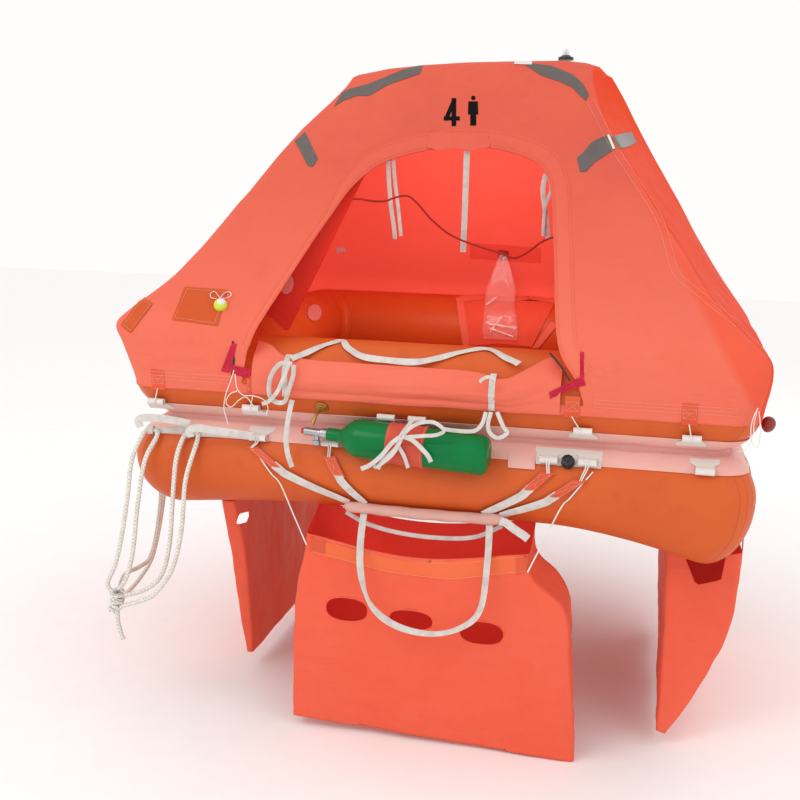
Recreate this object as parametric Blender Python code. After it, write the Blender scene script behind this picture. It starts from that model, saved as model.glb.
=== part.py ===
"""Four-person life raft: two square tubes, an arch, a hipped canopy, ballast bags and a boarding ladder.

X runs along the entrance side, Y away from the entrance and Z up. The origin is the raft's centre at the
waterline, level with the lower tube's axis.
"""

import math

import bmesh
import bpy
from mathutils import Vector

# Driving dimensions, in metres.
WIDTH = 1.75
DEPTH = 1.70
TUBE_R = 0.12
RIDGE_Z = 1.15
ARCH_R = 0.065
FABRIC = 0.003
SEAT_GAP = 0.0003
BAG_BOTTOM_Z = -0.738

# The tubes' axes, worked out from the driving dimensions.
HALF_X = WIDTH / 2 - TUBE_R
HALF_Y = DEPTH / 2 - TUBE_R
UPPER_Z = 2 * TUBE_R + SEAT_GAP
TUBE_SIDES = 16
CORNER_STEPS = 4
OUTER_CORNER_R = 0.09
INNER_CORNER_R = 0.02
SIDE_STATIONS = (0.08, 0.25, 0.5, 0.75, 0.92)
CORNER_SAG_REACH = 0.45
CORNER_SAG = {"front_left": 0.055, "front_right": 0.140, "back_right": 0.080, "back_left": 0.055}
CORNER_SAG_ROUND = 0.45

# Canopy sections. The hips are the four corners, and the arch stands between them on the left and right.
CANOPY_ROWS = (
    # z, hip_left, hip_right, arch_left, arch_right, front_y, back_y, corner_r
    (0.208, -0.8742, 0.8742, -0.8742, 0.8742, -0.8492, 0.8492, 0.0925),
    (UPPER_Z, -0.8786, 0.8786, -0.8786, 0.8786, -0.8536, 0.8536, 0.0936),
    (0.330, -0.892, 0.884, -0.905, 0.898, -0.866, 0.866, 0.060),
    (0.385, -0.899, 0.870, -0.905, 0.885, -0.866, 0.864, 0.032),
    (0.430, -0.862, 0.822, -0.885, 0.860, -0.838, 0.833, 0.030),
    (0.540, -0.758, 0.715, -0.825, 0.775, -0.728, 0.715, 0.035),
    (0.730, -0.652, 0.578, -0.708, 0.660, -0.530, 0.505, 0.035),
    (0.950, -0.549, 0.430, -0.594, 0.520, -0.300, 0.225, 0.030),
    (1.075, -0.464, 0.362, -0.488, 0.448, -0.175, 0.035, 0.024),
    (1.135, -0.418, 0.352, -0.438, 0.410, -0.122, -0.022, 0.016),
)
# The ridge is arched: its height over RIDGE_Z by place along it, and the heights where that lift fades in.
RIDGE_LIFT = (
    # x, lift
    (-0.436, -0.019), (-0.403, -0.007), (-0.300, 0.013), (-0.193, 0.024), (-0.050, 0.032), (0.098, 0.036),
    (0.261, 0.038), (0.330, 0.030), (0.367, 0.019), (0.395, 0.000),
)
RIDGE_LIFT_FROM_Z = 0.80
RIDGE_LIFT_FULL_Z = 1.10
ARCH_Y = -0.075

# The entrance's edge on the front panel, as x and z, and the height of the skirt left under it.
ENTRANCE_EDGE = (
    # x, z
    (-0.500, 0.330), (-0.440, 0.475), (-0.365, 0.670), (-0.300, 0.800), (-0.200, 0.870), (0.000, 0.908),
    (0.180, 0.880), (0.262, 0.815), (0.300, 0.650), (0.345, 0.400), (0.400, 0.300),
)
SKIRT_TOP_Z = 0.236

# Boarding ladder: its hinge axis lies in the rolls of the lower T-patches.
ROLL_R = 0.009
ROLL_RADIUS_FROM_AXIS = TUBE_R + 0.015
ROLL_ANGLE = 38.0
STRAP_CLEARANCE = 0.0065
WEB_W = 0.022
WEB_T = 0.0018

MATERIALS = {
    # name: red, green, blue, roughness, metallic
    "tube_orange": (0.760, 0.235, 0.065, 0.45, 0.0),
    "canopy_salmon": (0.900, 0.230, 0.130, 0.55, 0.0),
    "inner_red": (0.700, 0.090, 0.050, 0.55, 0.0),
    "bag_red": (0.850, 0.160, 0.080, 0.55, 0.0),
    "band_pink": (0.820, 0.560, 0.500, 0.50, 0.0),
    "webbing_white": (0.780, 0.770, 0.750, 0.80, 0.0),
    "pad_red": (0.640, 0.170, 0.110, 0.60, 0.0),
    "cylinder_green": (0.010, 0.190, 0.070, 0.30, 0.0),
    "brass": (0.550, 0.400, 0.180, 0.35, 1.0),
    "steel": (0.620, 0.620, 0.630, 0.30, 1.0),
    "black_plastic": (0.020, 0.020, 0.022, 0.40, 0.0),
    "clear_plastic": (0.850, 0.800, 0.780, 0.10, 0.0),
    "quoit_red": (0.450, 0.050, 0.040, 0.45, 0.0),
    "label_orange": (0.800, 0.300, 0.120, 0.60, 0.0),
}


def clear_scene():
    for obj in list(bpy.data.objects):
        bpy.data.objects.remove(obj, do_unlink=True)


def material(name):
    found = bpy.data.materials.get(name)
    if found:
        return found
    red, green, blue, roughness, metallic = MATERIALS[name]
    made = bpy.data.materials.new(name)
    made.use_nodes = True
    shader = made.node_tree.nodes["Principled BSDF"]
    shader.inputs["Base Color"].default_value = (red, green, blue, 1.0)
    shader.inputs["Roughness"].default_value = roughness
    shader.inputs["Metallic"].default_value = metallic
    made.diffuse_color = (red, green, blue, 1.0)
    return made


def add_mesh(name, points, faces, paint, origin=None, sharp_deg=35.0):
    """One closed mesh as a node, with its normals outward and its origin at the given place."""
    origin = Vector(origin) if origin else sum((Vector(p) for p in points), Vector()) / len(points)
    mesh = bpy.data.meshes.new(name)
    mesh.from_pydata([Vector(p) - origin for p in points], [], faces)
    tidy = bmesh.new()
    tidy.from_mesh(mesh)
    bmesh.ops.recalc_face_normals(tidy, faces=tidy.faces)
    tidy.to_mesh(mesh)
    tidy.free()
    mesh.shade_smooth()
    mesh.set_sharp_from_angle(angle=math.radians(sharp_deg))
    mesh.materials.append(material(paint))
    obj = bpy.data.objects.new(name, mesh)
    obj.location = origin
    bpy.context.collection.objects.link(obj)
    return obj


def hide_helper(obj):
    obj.hide_render = True
    obj.display_type = "WIRE"
    return obj


def boolean(obj, helper, operation):
    modifier = obj.modifiers.new(operation.lower(), "BOOLEAN")
    modifier.operation = operation
    modifier.object = helper
    modifier.solver = "EXACT"
    return modifier


def join_bodies(bodies):
    """Points and faces of several bodies in one list."""
    points, faces = [], []
    for body_points, body_faces in bodies:
        first = len(points)
        points += body_points
        faces += [tuple(first + index for index in face) for face in body_faces]
    return points, faces


def loft(rings, ring_closed=True, ends="caps"):
    """A skin over equal rings. ends is caps, or cyclic for rings that come back to the first."""
    count = len(rings[0])
    points = [tuple(p) for ring in rings for p in ring]
    faces = []
    last = len(rings) if ends == "cyclic" else len(rings) - 1
    for row in range(last):
        above = (row + 1) % len(rings)
        for column in range(count if ring_closed else count - 1):
            beside = (column + 1) % count
            low, high = row * count, above * count
            faces.append((low + column, low + beside, high + beside, high + column))
    if ends == "caps":
        faces.append(tuple(range(count))[::-1])
        faces.append(tuple((len(rings) - 1) * count + column for column in range(count)))
    return points, faces


def fillet(before, corner, after, radius, steps):
    """Points of the arc that rounds a corner, tangent to both of its edges."""
    into = (Vector(before) - Vector(corner)).normalized()
    out = (Vector(after) - Vector(corner)).normalized()
    angle = into.angle(out)
    reach = radius / math.tan(angle / 2)
    centre = Vector(corner) + (into + out).normalized() * (radius / math.sin(angle / 2))
    start = Vector(corner) + into * reach - centre
    end = Vector(corner) + out * reach - centre
    turn = start.angle(end)
    points = []
    for step in range(steps + 1):
        part = step / steps
        swung = start * math.sin((1 - part) * turn) + end * math.sin(part * turn)
        points.append(centre + swung / math.sin(turn))
    return points


def smooth_route(route, steps):
    """A smooth curve through the route's own points, read at an even number of steps per stretch."""
    knots = [Vector(p) for p in route]
    knots = [2 * knots[0] - knots[1]] + knots + [2 * knots[-1] - knots[-2]]
    points = []
    for first, start, end, last in zip(knots, knots[1:], knots[2:], knots[3:]):
        for step in range(steps):
            t = step / steps
            points.append(
                0.5
                * (
                    2 * start
                    + (end - first) * t
                    + (2 * first - 5 * start + 4 * end - last) * t * t
                    + (3 * start - first - 3 * end + last) * t ** 3
                )
            )
    return points + [knots[-2]]


def sweep(path, radius, sides, up=(0, 0, 1)):
    """Rings of a round rod along a path."""
    rings = []
    side = Vector(up)
    for index, place in enumerate(path):
        ahead = path[min(index + 1, len(path) - 1)] - path[max(index - 1, 0)]
        ahead.normalize()
        side = (side - ahead * side.dot(ahead)).normalized()
        across = ahead.cross(side)
        turns = [math.tau * k / sides for k in range(sides)]
        rings.append([place + radius * (math.cos(a) * side + math.sin(a) * across) for a in turns])
    return loft(rings)


def ribbon(path, faces_towards, width, thickness):
    """Flat webbing along a path, each of its points with the direction that the flat side faces."""
    rings = []
    for index, place in enumerate(path):
        ahead = (path[min(index + 1, len(path) - 1)] - path[max(index - 1, 0)]).normalized()
        normal = Vector(faces_towards[index])
        normal = (normal - ahead * normal.dot(ahead)).normalized()
        across = ahead.cross(normal) * (width / 2)
        half = normal * (thickness / 2)
        rings.append([place - across - half, place + across - half, place + across + half, place - across + half])
    return loft(rings)


def spokes_round(axis, count):
    """Unit directions round an axis, always from the same first one."""
    side = Vector(axis).orthogonal().normalized()
    across = Vector(axis).normalized().cross(side)
    turns = [math.tau * k / count for k in range(count)]
    return [math.cos(a) * side + math.sin(a) * across for a in turns]


def turned(centre, axis, profile, sides):
    """A turned solid: profile rows are the distance along the axis and the radius there."""
    axis = Vector(axis).normalized()
    spokes = spokes_round(axis, sides)
    rings = [[Vector(centre) + axis * along + radius * spoke for spoke in spokes] for along, radius in profile]
    return loft(rings)


def plan_outline(half_x, half_y, radius):
    """Stations round a rounded rectangle, from the front side's left end. The front comes first, then the right."""
    corners = [(-half_x, -half_y), (half_x, -half_y), (half_x, half_y), (-half_x, half_y)]
    outline = []
    for side in range(4):
        start, end = Vector(corners[side]), Vector(corners[(side + 1) % 4])
        after = Vector(corners[(side + 2) % 4])
        ahead = (end - start).normalized()
        first, last = start + ahead * radius, end - ahead * radius
        outline += [first.lerp(last, part) for part in SIDE_STATIONS]
        outline += fillet(start.to_3d(), end.to_3d(), after.to_3d(), radius, CORNER_STEPS)
    return [Vector((p[0], p[1])) for p in outline]


def corner_radius(offset):
    """Plan radius of the tubes' mitred corner, at an offset from the tube's axis."""
    return INNER_CORNER_R + (OUTER_CORNER_R - INNER_CORNER_R) * (offset + TUBE_R) / (2 * TUBE_R)


def ring_line(reach, angle_deg, axis_z):
    """One line round the raft, at a distance and angle from the tube's axis: 0 is outward and 90 up."""
    angle = math.radians(angle_deg)
    offset = reach * math.cos(angle)
    outline = plan_outline(HALF_X + offset, HALF_Y + offset, corner_radius(offset))
    return [Vector((p.x, p.y, axis_z + reach * math.sin(angle))) for p in outline]


def corner_sag(place):
    """How far the lower tube's underside droops at a place, near each corner."""
    sag = 0.0
    for name, depth in CORNER_SAG.items():
        corner = Vector((HALF_X if "right" in name else -HALF_X, -HALF_Y if "front" in name else HALF_Y))
        near = max(0.0, 1.0 - (Vector((place.x, place.y)) - corner).length / CORNER_SAG_REACH)
        rounded, pointed = near**2 * (3 - 2 * near), near**4
        sag = max(sag, depth * (CORNER_SAG_ROUND * rounded + (1 - CORNER_SAG_ROUND) * pointed))
    return sag


def tube_rings(reach, axis_z, sags):
    lines = []
    for step in range(TUBE_SIDES):
        angle = math.radians(360.0 * step / TUBE_SIDES)
        line = ring_line(reach, math.degrees(angle), axis_z)
        droop = max(0.0, -math.sin(angle)) * (0.5 + 0.5 * math.cos(angle)) if sags else 0.0
        lines.append([p - Vector((0, 0, corner_sag(p) * droop)) for p in line])
    return [list(section) for section in zip(*lines)]


def buoyancy_tube(name, axis_z, sags):
    body = loft(tube_rings(TUBE_R, axis_z, sags), ends="cyclic")
    return add_mesh(name, *body, "tube_orange", origin=(0, 0, axis_z))


def cut_seat(obj, axis_z, sags, gap=SEAT_GAP):
    """Trims a piece that stands on or against a tube, to seat it on the tube's surface."""
    rings = tube_rings(TUBE_R + gap, axis_z, sags)
    seat = add_mesh(obj.name + "_seat", *loft(rings, ends="cyclic"), "tube_orange")
    boolean(obj, hide_helper(seat), "DIFFERENCE")


def front_point(x, reach, angle_deg, axis_z):
    """A place on the front tube's surface, at a distance and angle from its axis."""
    angle = math.radians(angle_deg)
    return Vector((x, -HALF_Y - reach * math.cos(angle), axis_z + reach * math.sin(angle)))


def side_point(side, along, reach, angle_deg, axis_z):
    """The same on any side: along is X on the front and back, and Y on the left and right."""
    angle = math.radians(angle_deg)
    out, up = reach * math.cos(angle), axis_z + reach * math.sin(angle)
    return {
        "front": Vector((along, -HALF_Y - out, up)),
        "back": Vector((along, HALF_Y + out, up)),
        "right": Vector((HALF_X + out, along, up)),
        "left": Vector((-HALF_X - out, along, up)),
    }[side]


# T-patches on the lacing bands: side, place along it.
UPPER_PATCHES = (
    ("front", -0.780), ("front", -0.495), ("front", -0.108),
    ("front", -0.022), ("front", 0.420), ("front", 0.696),
    ("right", -0.450), ("right", 0.000), ("right", 0.450), ("left", -0.450), ("left", 0.000), ("left", 0.450),
    ("back", -0.500), ("back", 0.000), ("back", 0.500),
)
LOWER_PATCHES = (
    ("front", -0.478), ("front", -0.266), ("front", 0.334), ("front", 0.436), ("front", 0.735),
    ("right", -0.250), ("right", 0.350), ("left", -0.250), ("left", 0.350), ("back", -0.350), ("back", 0.350),
)
BAND_T = 0.002
PATCH_W = 0.066
ROLL_W = 0.046
PATCH_T = 0.003


def polar_slab(side, along, width, axis_z, low_reach, high_reach, angles):
    """A curved slab that lies round the tube, between two distances from its axis."""
    rings = []
    for place in (along - width / 2, along + width / 2):
        inner = [side_point(side, place, low_reach, angle, axis_z) for angle in angles]
        outer = [side_point(side, place, high_reach, angle, axis_z) for angle in reversed(angles)]
        rings.append(inner + outer)
    return loft(rings)


def lacing_band(name, axis_z, angles, patches, patch_angles, roll_angle):
    """A fabric band round the raft with its T-patches, each with a rolled sleeve for a lacing."""
    inner = [ring_line(TUBE_R + SEAT_GAP, angle, axis_z) for angle in angles]
    outer = [ring_line(TUBE_R + SEAT_GAP + BAND_T, angle, axis_z) for angle in reversed(angles)]
    rings = [list(section) for section in zip(*(inner + outer))]
    band = add_mesh(name, *loft(rings, ends="cyclic"), "band_pink", origin=(0, 0, axis_z))
    bodies = {"bases": [], "necks": [], "rolls": []}
    base_low = TUBE_R + SEAT_GAP + BAND_T / 2
    base_high = TUBE_R + SEAT_GAP + BAND_T + PATCH_T
    rolls_below = roll_angle < patch_angles[0]
    neck_angles = [patch_angles[0] if rolls_below else patch_angles[-1], roll_angle]
    turn = 1 if neck_angles[1] > neck_angles[0] else -1
    neck_angles = sorted((neck_angles[0] - 4 * turn, neck_angles[1]))
    for side, along in patches:
        bodies["bases"].append(polar_slab(side, along, PATCH_W, axis_z, base_low, base_high, patch_angles))
        bodies["necks"].append(
            polar_slab(side, along, ROLL_W - 0.006, axis_z, base_high - 0.0025, base_high + 0.0025, neck_angles)
        )
        start = side_point(side, along - ROLL_W / 2, ROLL_RADIUS_FROM_AXIS, roll_angle, axis_z)
        end = side_point(side, along + ROLL_W / 2, ROLL_RADIUS_FROM_AXIS, roll_angle, axis_z)
        bodies["rolls"].append(turned(start, end - start, ((0, ROLL_R), (ROLL_W, ROLL_R)), 8))
    for kind, made in bodies.items():
        helper = hide_helper(add_mesh(name + "_" + kind, *join_bodies(made), "webbing_white"))
        boolean(band, helper, "UNION")
    return band


def ridge_lift(x):
    """How far the ridge stands above or below RIDGE_Z at a place along it."""
    for (x_0, lift_0), (x_1, lift_1) in zip(RIDGE_LIFT, RIDGE_LIFT[1:]):
        if x < x_1:
            return lift_0 + (lift_1 - lift_0) * max(0.0, (x - x_0) / (x_1 - x_0))
    return RIDGE_LIFT[-1][1]


def lifted(place):
    """A place on the canopy or its arch, raised to follow the arched ridge."""
    part = (place.z - RIDGE_LIFT_FROM_Z) / (RIDGE_LIFT_FULL_Z - RIDGE_LIFT_FROM_Z)
    part = max(0.0, min(1.0, part))
    return place + Vector((0, 0, ridge_lift(place.x) * part * part * (3 - 2 * part)))


def canopy_ring(row):
    """One section of the canopy: a six-sided outline with round hips, and the same count of points in each."""
    z, hip_left, hip_right, arch_left, arch_right, front_y, back_y, radius = row
    arch_y = ARCH_Y * (z - CANOPY_ROWS[0][0]) / (CANOPY_ROWS[-1][0] - CANOPY_ROWS[0][0])
    corners = ((hip_left, front_y), (hip_right, front_y), (hip_right, back_y), (hip_left, back_y))
    hips = [Vector((x, y, z)) for x, y in corners]
    arches = {1: Vector((arch_right, arch_y, z)), 3: Vector((arch_left, arch_y, z))}
    ring = []
    for side in range(4):
        start, end = hips[side], hips[(side + 1) % 4]
        before = arches.get(side, start)
        after = arches.get((side + 1) % 4, hips[(side + 2) % 4])
        arc = fillet(before, end, after, radius, CORNER_STEPS)
        previous = arches.get((side - 1) % 4, hips[(side - 1) % 4])
        following = arches.get(side, end)
        first = fillet(previous, start, following, radius, CORNER_STEPS)[-1]
        if side in arches:
            middle = arches[side]
            ring += [first.lerp(middle, 1 / 3), first.lerp(middle, 2 / 3), middle]
            ring += [middle.lerp(arc[0], 1 / 3), middle.lerp(arc[0], 2 / 3)]
        else:
            ring += [first.lerp(arc[0], part) for part in (0.12, 0.3, 0.5, 0.7, 0.88)]
        ring += arc
    return [lifted(place) for place in ring]


CANOPY_SIDE_POINTS = 5
CANOPY_PANELS = ("front", "right", "back", "left")
RIDGE_TAPER = 0.99
RIDGE_TIP = 0.02


def canopy_grids():
    """The outer and inner skins of the whole canopy, as rows of points."""
    outer = [canopy_ring(row) for row in CANOPY_ROWS]
    count = len(outer[0])
    inner = []
    for row, ring in enumerate(outer):
        below, above = outer[max(row - 1, 0)], outer[min(row + 1, len(outer) - 1)]
        inner.append([])
        for column in range(count):
            along = ring[(column + 1) % count] - ring[column - 1]
            normal = along.cross(above[column] - below[column]).normalized()
            inner[-1].append(ring[column] - normal * FABRIC)
    return outer, inner


def canopy_panel(name, columns, outer, inner, ridge_y):
    """One panel of the canopy between two seams, a thin closed solid."""
    count = len(outer[0])
    seam = SEAT_GAP / 2
    rings = []
    for skin, rise in ((outer, FABRIC), (inner, 0.0)):
        grid = []
        for ring in skin:
            row = [ring[column % count].copy() for column in columns]
            row[0] += (row[1] - row[0]).normalized() * seam
            row[-1] += (row[-2] - row[-1]).normalized() * seam
            grid.append(row)
        ridge_z = RIDGE_Z - FABRIC + rise
        if ridge_y is None:
            edge = grid[-1][0].x
            tip = Vector((edge * RIDGE_TAPER + math.copysign(4 * SEAT_GAP, edge), ARCH_Y, ridge_z))
            middle = Vector((edge, ARCH_Y, grid[-1][0].z))
            grid.append([lifted(tip + (p - middle) * RIDGE_TIP) for p in grid[-1]])
        else:
            grid.append([lifted(Vector((p.x * RIDGE_TAPER, ridge_y, ridge_z))) for p in grid[-1]])
        rings.append(grid)
    wide, tall = len(columns), len(rings[0])
    points = [p for grid in rings for row in grid for p in row]
    faces = []
    for layer in range(2):
        first = layer * wide * tall
        for row in range(tall - 1):
            for column in range(wide - 1):
                corner = first + row * wide + column
                faces.append((corner, corner + 1, corner + wide + 1, corner + wide))
    rim = list(range(wide))
    rim += [row * wide + wide - 1 for row in range(1, tall)]
    rim += [(tall - 1) * wide + column for column in range(wide - 2, -1, -1)]
    rim += [row * wide for row in range(tall - 2, 0, -1)]
    depth = wide * tall
    faces += [(a, b, b + depth, a + depth) for a, b in zip(rim, rim[1:] + rim[:1])]
    return add_mesh(name, points, faces, "canopy_salmon", origin=(0, 0, UPPER_Z))


def canopy():
    outer, inner = canopy_grids()
    per_side = CANOPY_SIDE_POINTS + CORNER_STEPS + 1
    half_corner = CORNER_STEPS // 2
    for side, panel in enumerate(CANOPY_PANELS):
        first = side * per_side - half_corner - 1
        columns = range(first, first + per_side + 1)
        ridge_y = {"front": ARCH_Y - SEAT_GAP, "back": ARCH_Y + SEAT_GAP}.get(panel)
        made = canopy_panel("canopy_" + panel, columns, outer, inner, ridge_y)
        if panel == "front":
            boolean(made, entrance_cutter(), "DIFFERENCE")


def entrance_cutter():
    edge = smooth_route([(x, 0, z) for x, z in ENTRANCE_EDGE], 3)
    left, right = edge[0].x, edge[-1].x
    outline = [Vector((left - 0.02, 0, SKIRT_TOP_Z))] + edge + [Vector((right + 0.02, 0, SKIRT_TOP_Z))]
    rings = [[Vector((p.x, y, p.z)) for p in outline] for y in (-1.1, -0.15)]
    return hide_helper(add_mesh("entrance_cutter", *loft(rings), "canopy_salmon"))


# The arch under the ridge: its legs stand on the upper tube, at the middle of the left and right sides.
ARCH_TOP_Z = RIDGE_Z - FABRIC - ARCH_R - 0.009
ARCH_FOOT_X = 0.700
ARCH_SHOULDERS_X = (-0.330, 0.300)
ARCH_CREST_X = (-0.14, -0.04, 0.06, 0.16)
ARCH_FOOT_Z = UPPER_Z + 0.08
ARCH_BEND_R = 0.13


def arch():
    left, right = ARCH_SHOULDERS_X
    knots = [(-ARCH_FOOT_X, ARCH_FOOT_Z), (left, ARCH_TOP_Z), (right, ARCH_TOP_Z), (ARCH_FOOT_X, ARCH_FOOT_Z)]
    knots = [Vector((x, ARCH_Y, z)) for x, z in knots]
    path = [knots[0], knots[0].lerp(knots[1], 0.45)]
    path += fillet(knots[0], knots[1], knots[2], ARCH_BEND_R, 5)
    path += [Vector((x, ARCH_Y, ARCH_TOP_Z)) for x in ARCH_CREST_X]
    path += fillet(knots[1], knots[2], knots[3], ARCH_BEND_R, 5)
    path += [knots[3].lerp(knots[2], 0.45), knots[3]]
    path = [lifted(place) for place in path]
    made = add_mesh("arch_tube", *sweep(path, ARCH_R, 14, up=(0, 1, 0)), "inner_red", sharp_deg=60)
    cut_seat(made, UPPER_Z, sags=False)


# Floor sheet: it spans the lower tube's inside near its underside.
FLOOR_T = 0.006
FLOOR_TOP_Z = -0.088
FLOOR_INSET = 0.06
FLOOR_GAP = 0.0008
FLOOR_CORNER_R = 0.10


def floor_sheet():
    half_x, half_y = HALF_X - FLOOR_INSET, HALF_Y - FLOOR_INSET
    low = [Vector((p.x, p.y, FLOOR_TOP_Z - FLOOR_T)) for p in plan_outline(half_x, half_y, FLOOR_CORNER_R)]
    high = [Vector((p.x, p.y, FLOOR_TOP_Z)) for p in low]
    made = add_mesh("floor_sheet", *loft([low, high]), "bag_red", origin=(0, 0, FLOOR_TOP_Z))
    cut_seat(made, 0.0, sags=True, gap=FLOOR_GAP)


# Door curtain, rolled down over the front of the upper tube: place along X, angle of its top edge.
CURTAIN_ROWS = (
    # x, top_angle, thickness
    (-0.488, 58, 0.010), (-0.450, 50, 0.016), (-0.390, 34, 0.020), (-0.240, 30, 0.022), (0.000, 29, 0.022),
    (0.144, 27, 0.022), (0.212, 22, 0.022), (0.272, 38, 0.018), (0.325, 56, 0.014), (0.358, 42, 0.010),
)
CURTAIN_BOTTOM_ANGLE = -14
CURTAIN_LOW_REACH = TUBE_R + 0.0041
CURTAIN_STEPS = 5


def curtain_reach(thickness, part):
    """The curtain's outer face, as a distance from the tube's axis. Its hem is at 0 and its top edge at 1."""
    return CURTAIN_LOW_REACH + thickness * math.sin(math.pi * (0.25 + 0.6 * part))


def door_curtain():
    rings = []
    for x, top_angle, thickness in CURTAIN_ROWS:
        inner, outer = [], []
        for step in range(CURTAIN_STEPS + 1):
            part = step / CURTAIN_STEPS
            angle = CURTAIN_BOTTOM_ANGLE + (top_angle - CURTAIN_BOTTOM_ANGLE) * part
            inner.append(front_point(x, CURTAIN_LOW_REACH, angle, UPPER_Z))
            outer.append(front_point(x, curtain_reach(thickness, part), angle, UPPER_Z))
        rings.append(inner + outer[::-1])
    return add_mesh("door_curtain", *loft(rings), "canopy_salmon", sharp_deg=50)


# Ballast bags. The front one hangs under the entrance side, one each under the left and right tubes.
FRONT_BAG_ROWS = (
    # z_front, z_back, left_x, right_x, front_y, back_y, back_sag, right_drop
    (-0.215, -0.1180, -0.325, 0.300, -0.868, -0.729, 0.034, 0.0),
    (-0.245, -0.175, -0.335, 0.318, -0.868, -0.729, 0.020, 0.0),
    (-0.330, -0.300, -0.350, 0.400, -0.866, -0.735, 0.0, 0.0),
    (-0.480, -0.470, -0.362, 0.420, -0.860, -0.750, 0.0, 0.008),
    (-0.620, -0.620, -0.368, 0.435, -0.850, -0.780, 0.0, 0.018),
    (BAG_BOTTOM_Z, BAG_BOTTOM_Z, -0.368, 0.441, -0.838, -0.805, 0.0, 0.030),
)
FRONT_BAG_HOLES = (
    # x, z, half_width, half_height
    (-0.205, -0.385, 0.060, 0.032), (-0.020, -0.395, 0.062, 0.028), (0.178, -0.412, 0.060, 0.033),
)
FLOOR_SEAT_Z = -0.0945
RIGHT_BAG_ROWS = (
    # z_inner, z_outer, inner_x, outer_x, front_y, back_y, end_sag
    (FLOOR_SEAT_Z, -0.205, 0.655, 0.868, -0.590, 0.360, 0.060),
    (-0.190, -0.300, 0.656, 0.865, -0.605, 0.350, 0.050),
    (-0.330, -0.430, 0.660, 0.850, -0.620, 0.320, 0.030),
    (-0.480, -0.550, 0.664, 0.803, -0.635, 0.280, 0.0),
    (-0.630, -0.650, 0.668, 0.750, -0.655, 0.240, 0.0),
    (-0.725, -0.730, 0.670, 0.688, -0.675, 0.200, 0.0),
)
LEFT_BAG_ROWS = (
    # z_front, z_back, outer_x, inner_x, front_y, back_y
    (-0.160, FLOOR_SEAT_Z, -0.655, -0.615, -0.670, 0.380),
    (-0.300, -0.280, -0.660, -0.612, -0.600, 0.380),
    (-0.430, -0.420, -0.658, -0.612, -0.560, 0.370),
    (-0.560, -0.560, -0.650, -0.614, -0.530, 0.350),
    (-0.660, -0.660, -0.642, -0.617, -0.510, 0.330),
    (-0.715, -0.715, -0.636, -0.620, -0.500, 0.310),
)


def bag_ring(corners, sags=(0.0, 0.0, 0.0, 0.0)):
    """One level of a bag: three points on each side of a rectangle, the middle one lower by its sag."""
    ring = []
    for corner, after, sag in zip(corners, corners[1:] + corners[:1], sags):
        for part, drop in ((0.06, 0.1), (0.5, 1.0), (0.94, 0.1)):
            ring.append(Vector(corner).lerp(Vector(after), part) - Vector((0, 0, sag * drop)))
    return ring


def open_pouch(name, rings, paint):
    """A thin-walled pouch, open at its first ring and closed at its last."""
    points, faces = loft(rings, ends="open")
    count, last = len(rings[0]), (len(rings) - 1) * len(rings[0])
    faces.append(tuple(last + column for column in range(count)))
    pouch = add_mesh(name, points, faces, paint)
    wall = pouch.modifiers.new("wall", "SOLIDIFY")
    wall.thickness = FABRIC
    wall.offset = -1.0
    wall.use_even_offset = True
    return pouch


def front_bag():
    rings = []
    for z_front, z_back, left, right, front, back, sag, right_drop in FRONT_BAG_ROWS:
        corners = [(left, front, z_front), (right, front, z_front - right_drop)]
        corners += [(right, back, z_back - right_drop), (left, back, z_back)]
        rings.append(bag_ring(corners, (0.0, 0.0, sag, 0.0)))
    bag = open_pouch("ballast_bag_front", rings, "bag_red")
    bodies = []
    for x, z, half_width, half_height in FRONT_BAG_HOLES:
        turns = [math.tau * k / 16 for k in range(16)]
        oval = [Vector((half_width * math.cos(a), 0, half_height * math.sin(a))) for a in turns]
        bodies.append(loft([[Vector((x, y, z)) + p for p in oval] for y in (-0.90, -0.82)]))
    holes = hide_helper(add_mesh("front_bag_holes", *join_bodies(bodies), "bag_red"))
    boolean(bag, holes, "DIFFERENCE")


def side_bags():
    rings = []
    for z_inner, z_outer, inner, outer, front, back, sag in RIGHT_BAG_ROWS:
        corners = [(inner, front, z_inner), (outer, front, z_outer)]
        corners += [(outer, back, z_outer), (inner, back, z_inner)]
        rings.append(bag_ring(corners, (sag, 0.0, sag, 0.0)))
    open_pouch("ballast_bag_right", rings, "bag_red")
    rings = []
    for z_front, z_back, outer, inner, front, back in LEFT_BAG_ROWS:
        corners = [(outer, front, z_front), (inner, front, z_front)]
        corners += [(inner, back, z_back), (outer, back, z_back)]
        rings.append(bag_ring(corners))
    open_pouch("ballast_bag_left", rings, "bag_red")


# What holds the bags' outer edges: two cords to the front bag and a strap to the right one.
BAG_CORD_R = 0.0022
BAG_CORDS = (
    # name, roll_x, bag_x
    ("left", -0.494, -0.322),
    ("right", 0.452, 0.296),
)
BAG_CORD_REACH = TUBE_R + 0.004
BAG_CORD_WRAP = (
    # part of the run along X, angle on the tube
    (0.0, 29), (0.18, 12), (0.36, -6), (0.5, -20),
)
BAG_CORD_END = (-0.8707, -0.225)
BAG_STRAP_Y = -0.560
BAG_STRAP_W = 0.024
BAG_STRAP_ANGLES = (36, 22.5, 0)
BAG_STRAP_DROP = (
    # x, z
    (0.8738, -0.060), (0.8702, -0.130), (0.8695, -0.215), (0.8692, -0.245),
)


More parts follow.
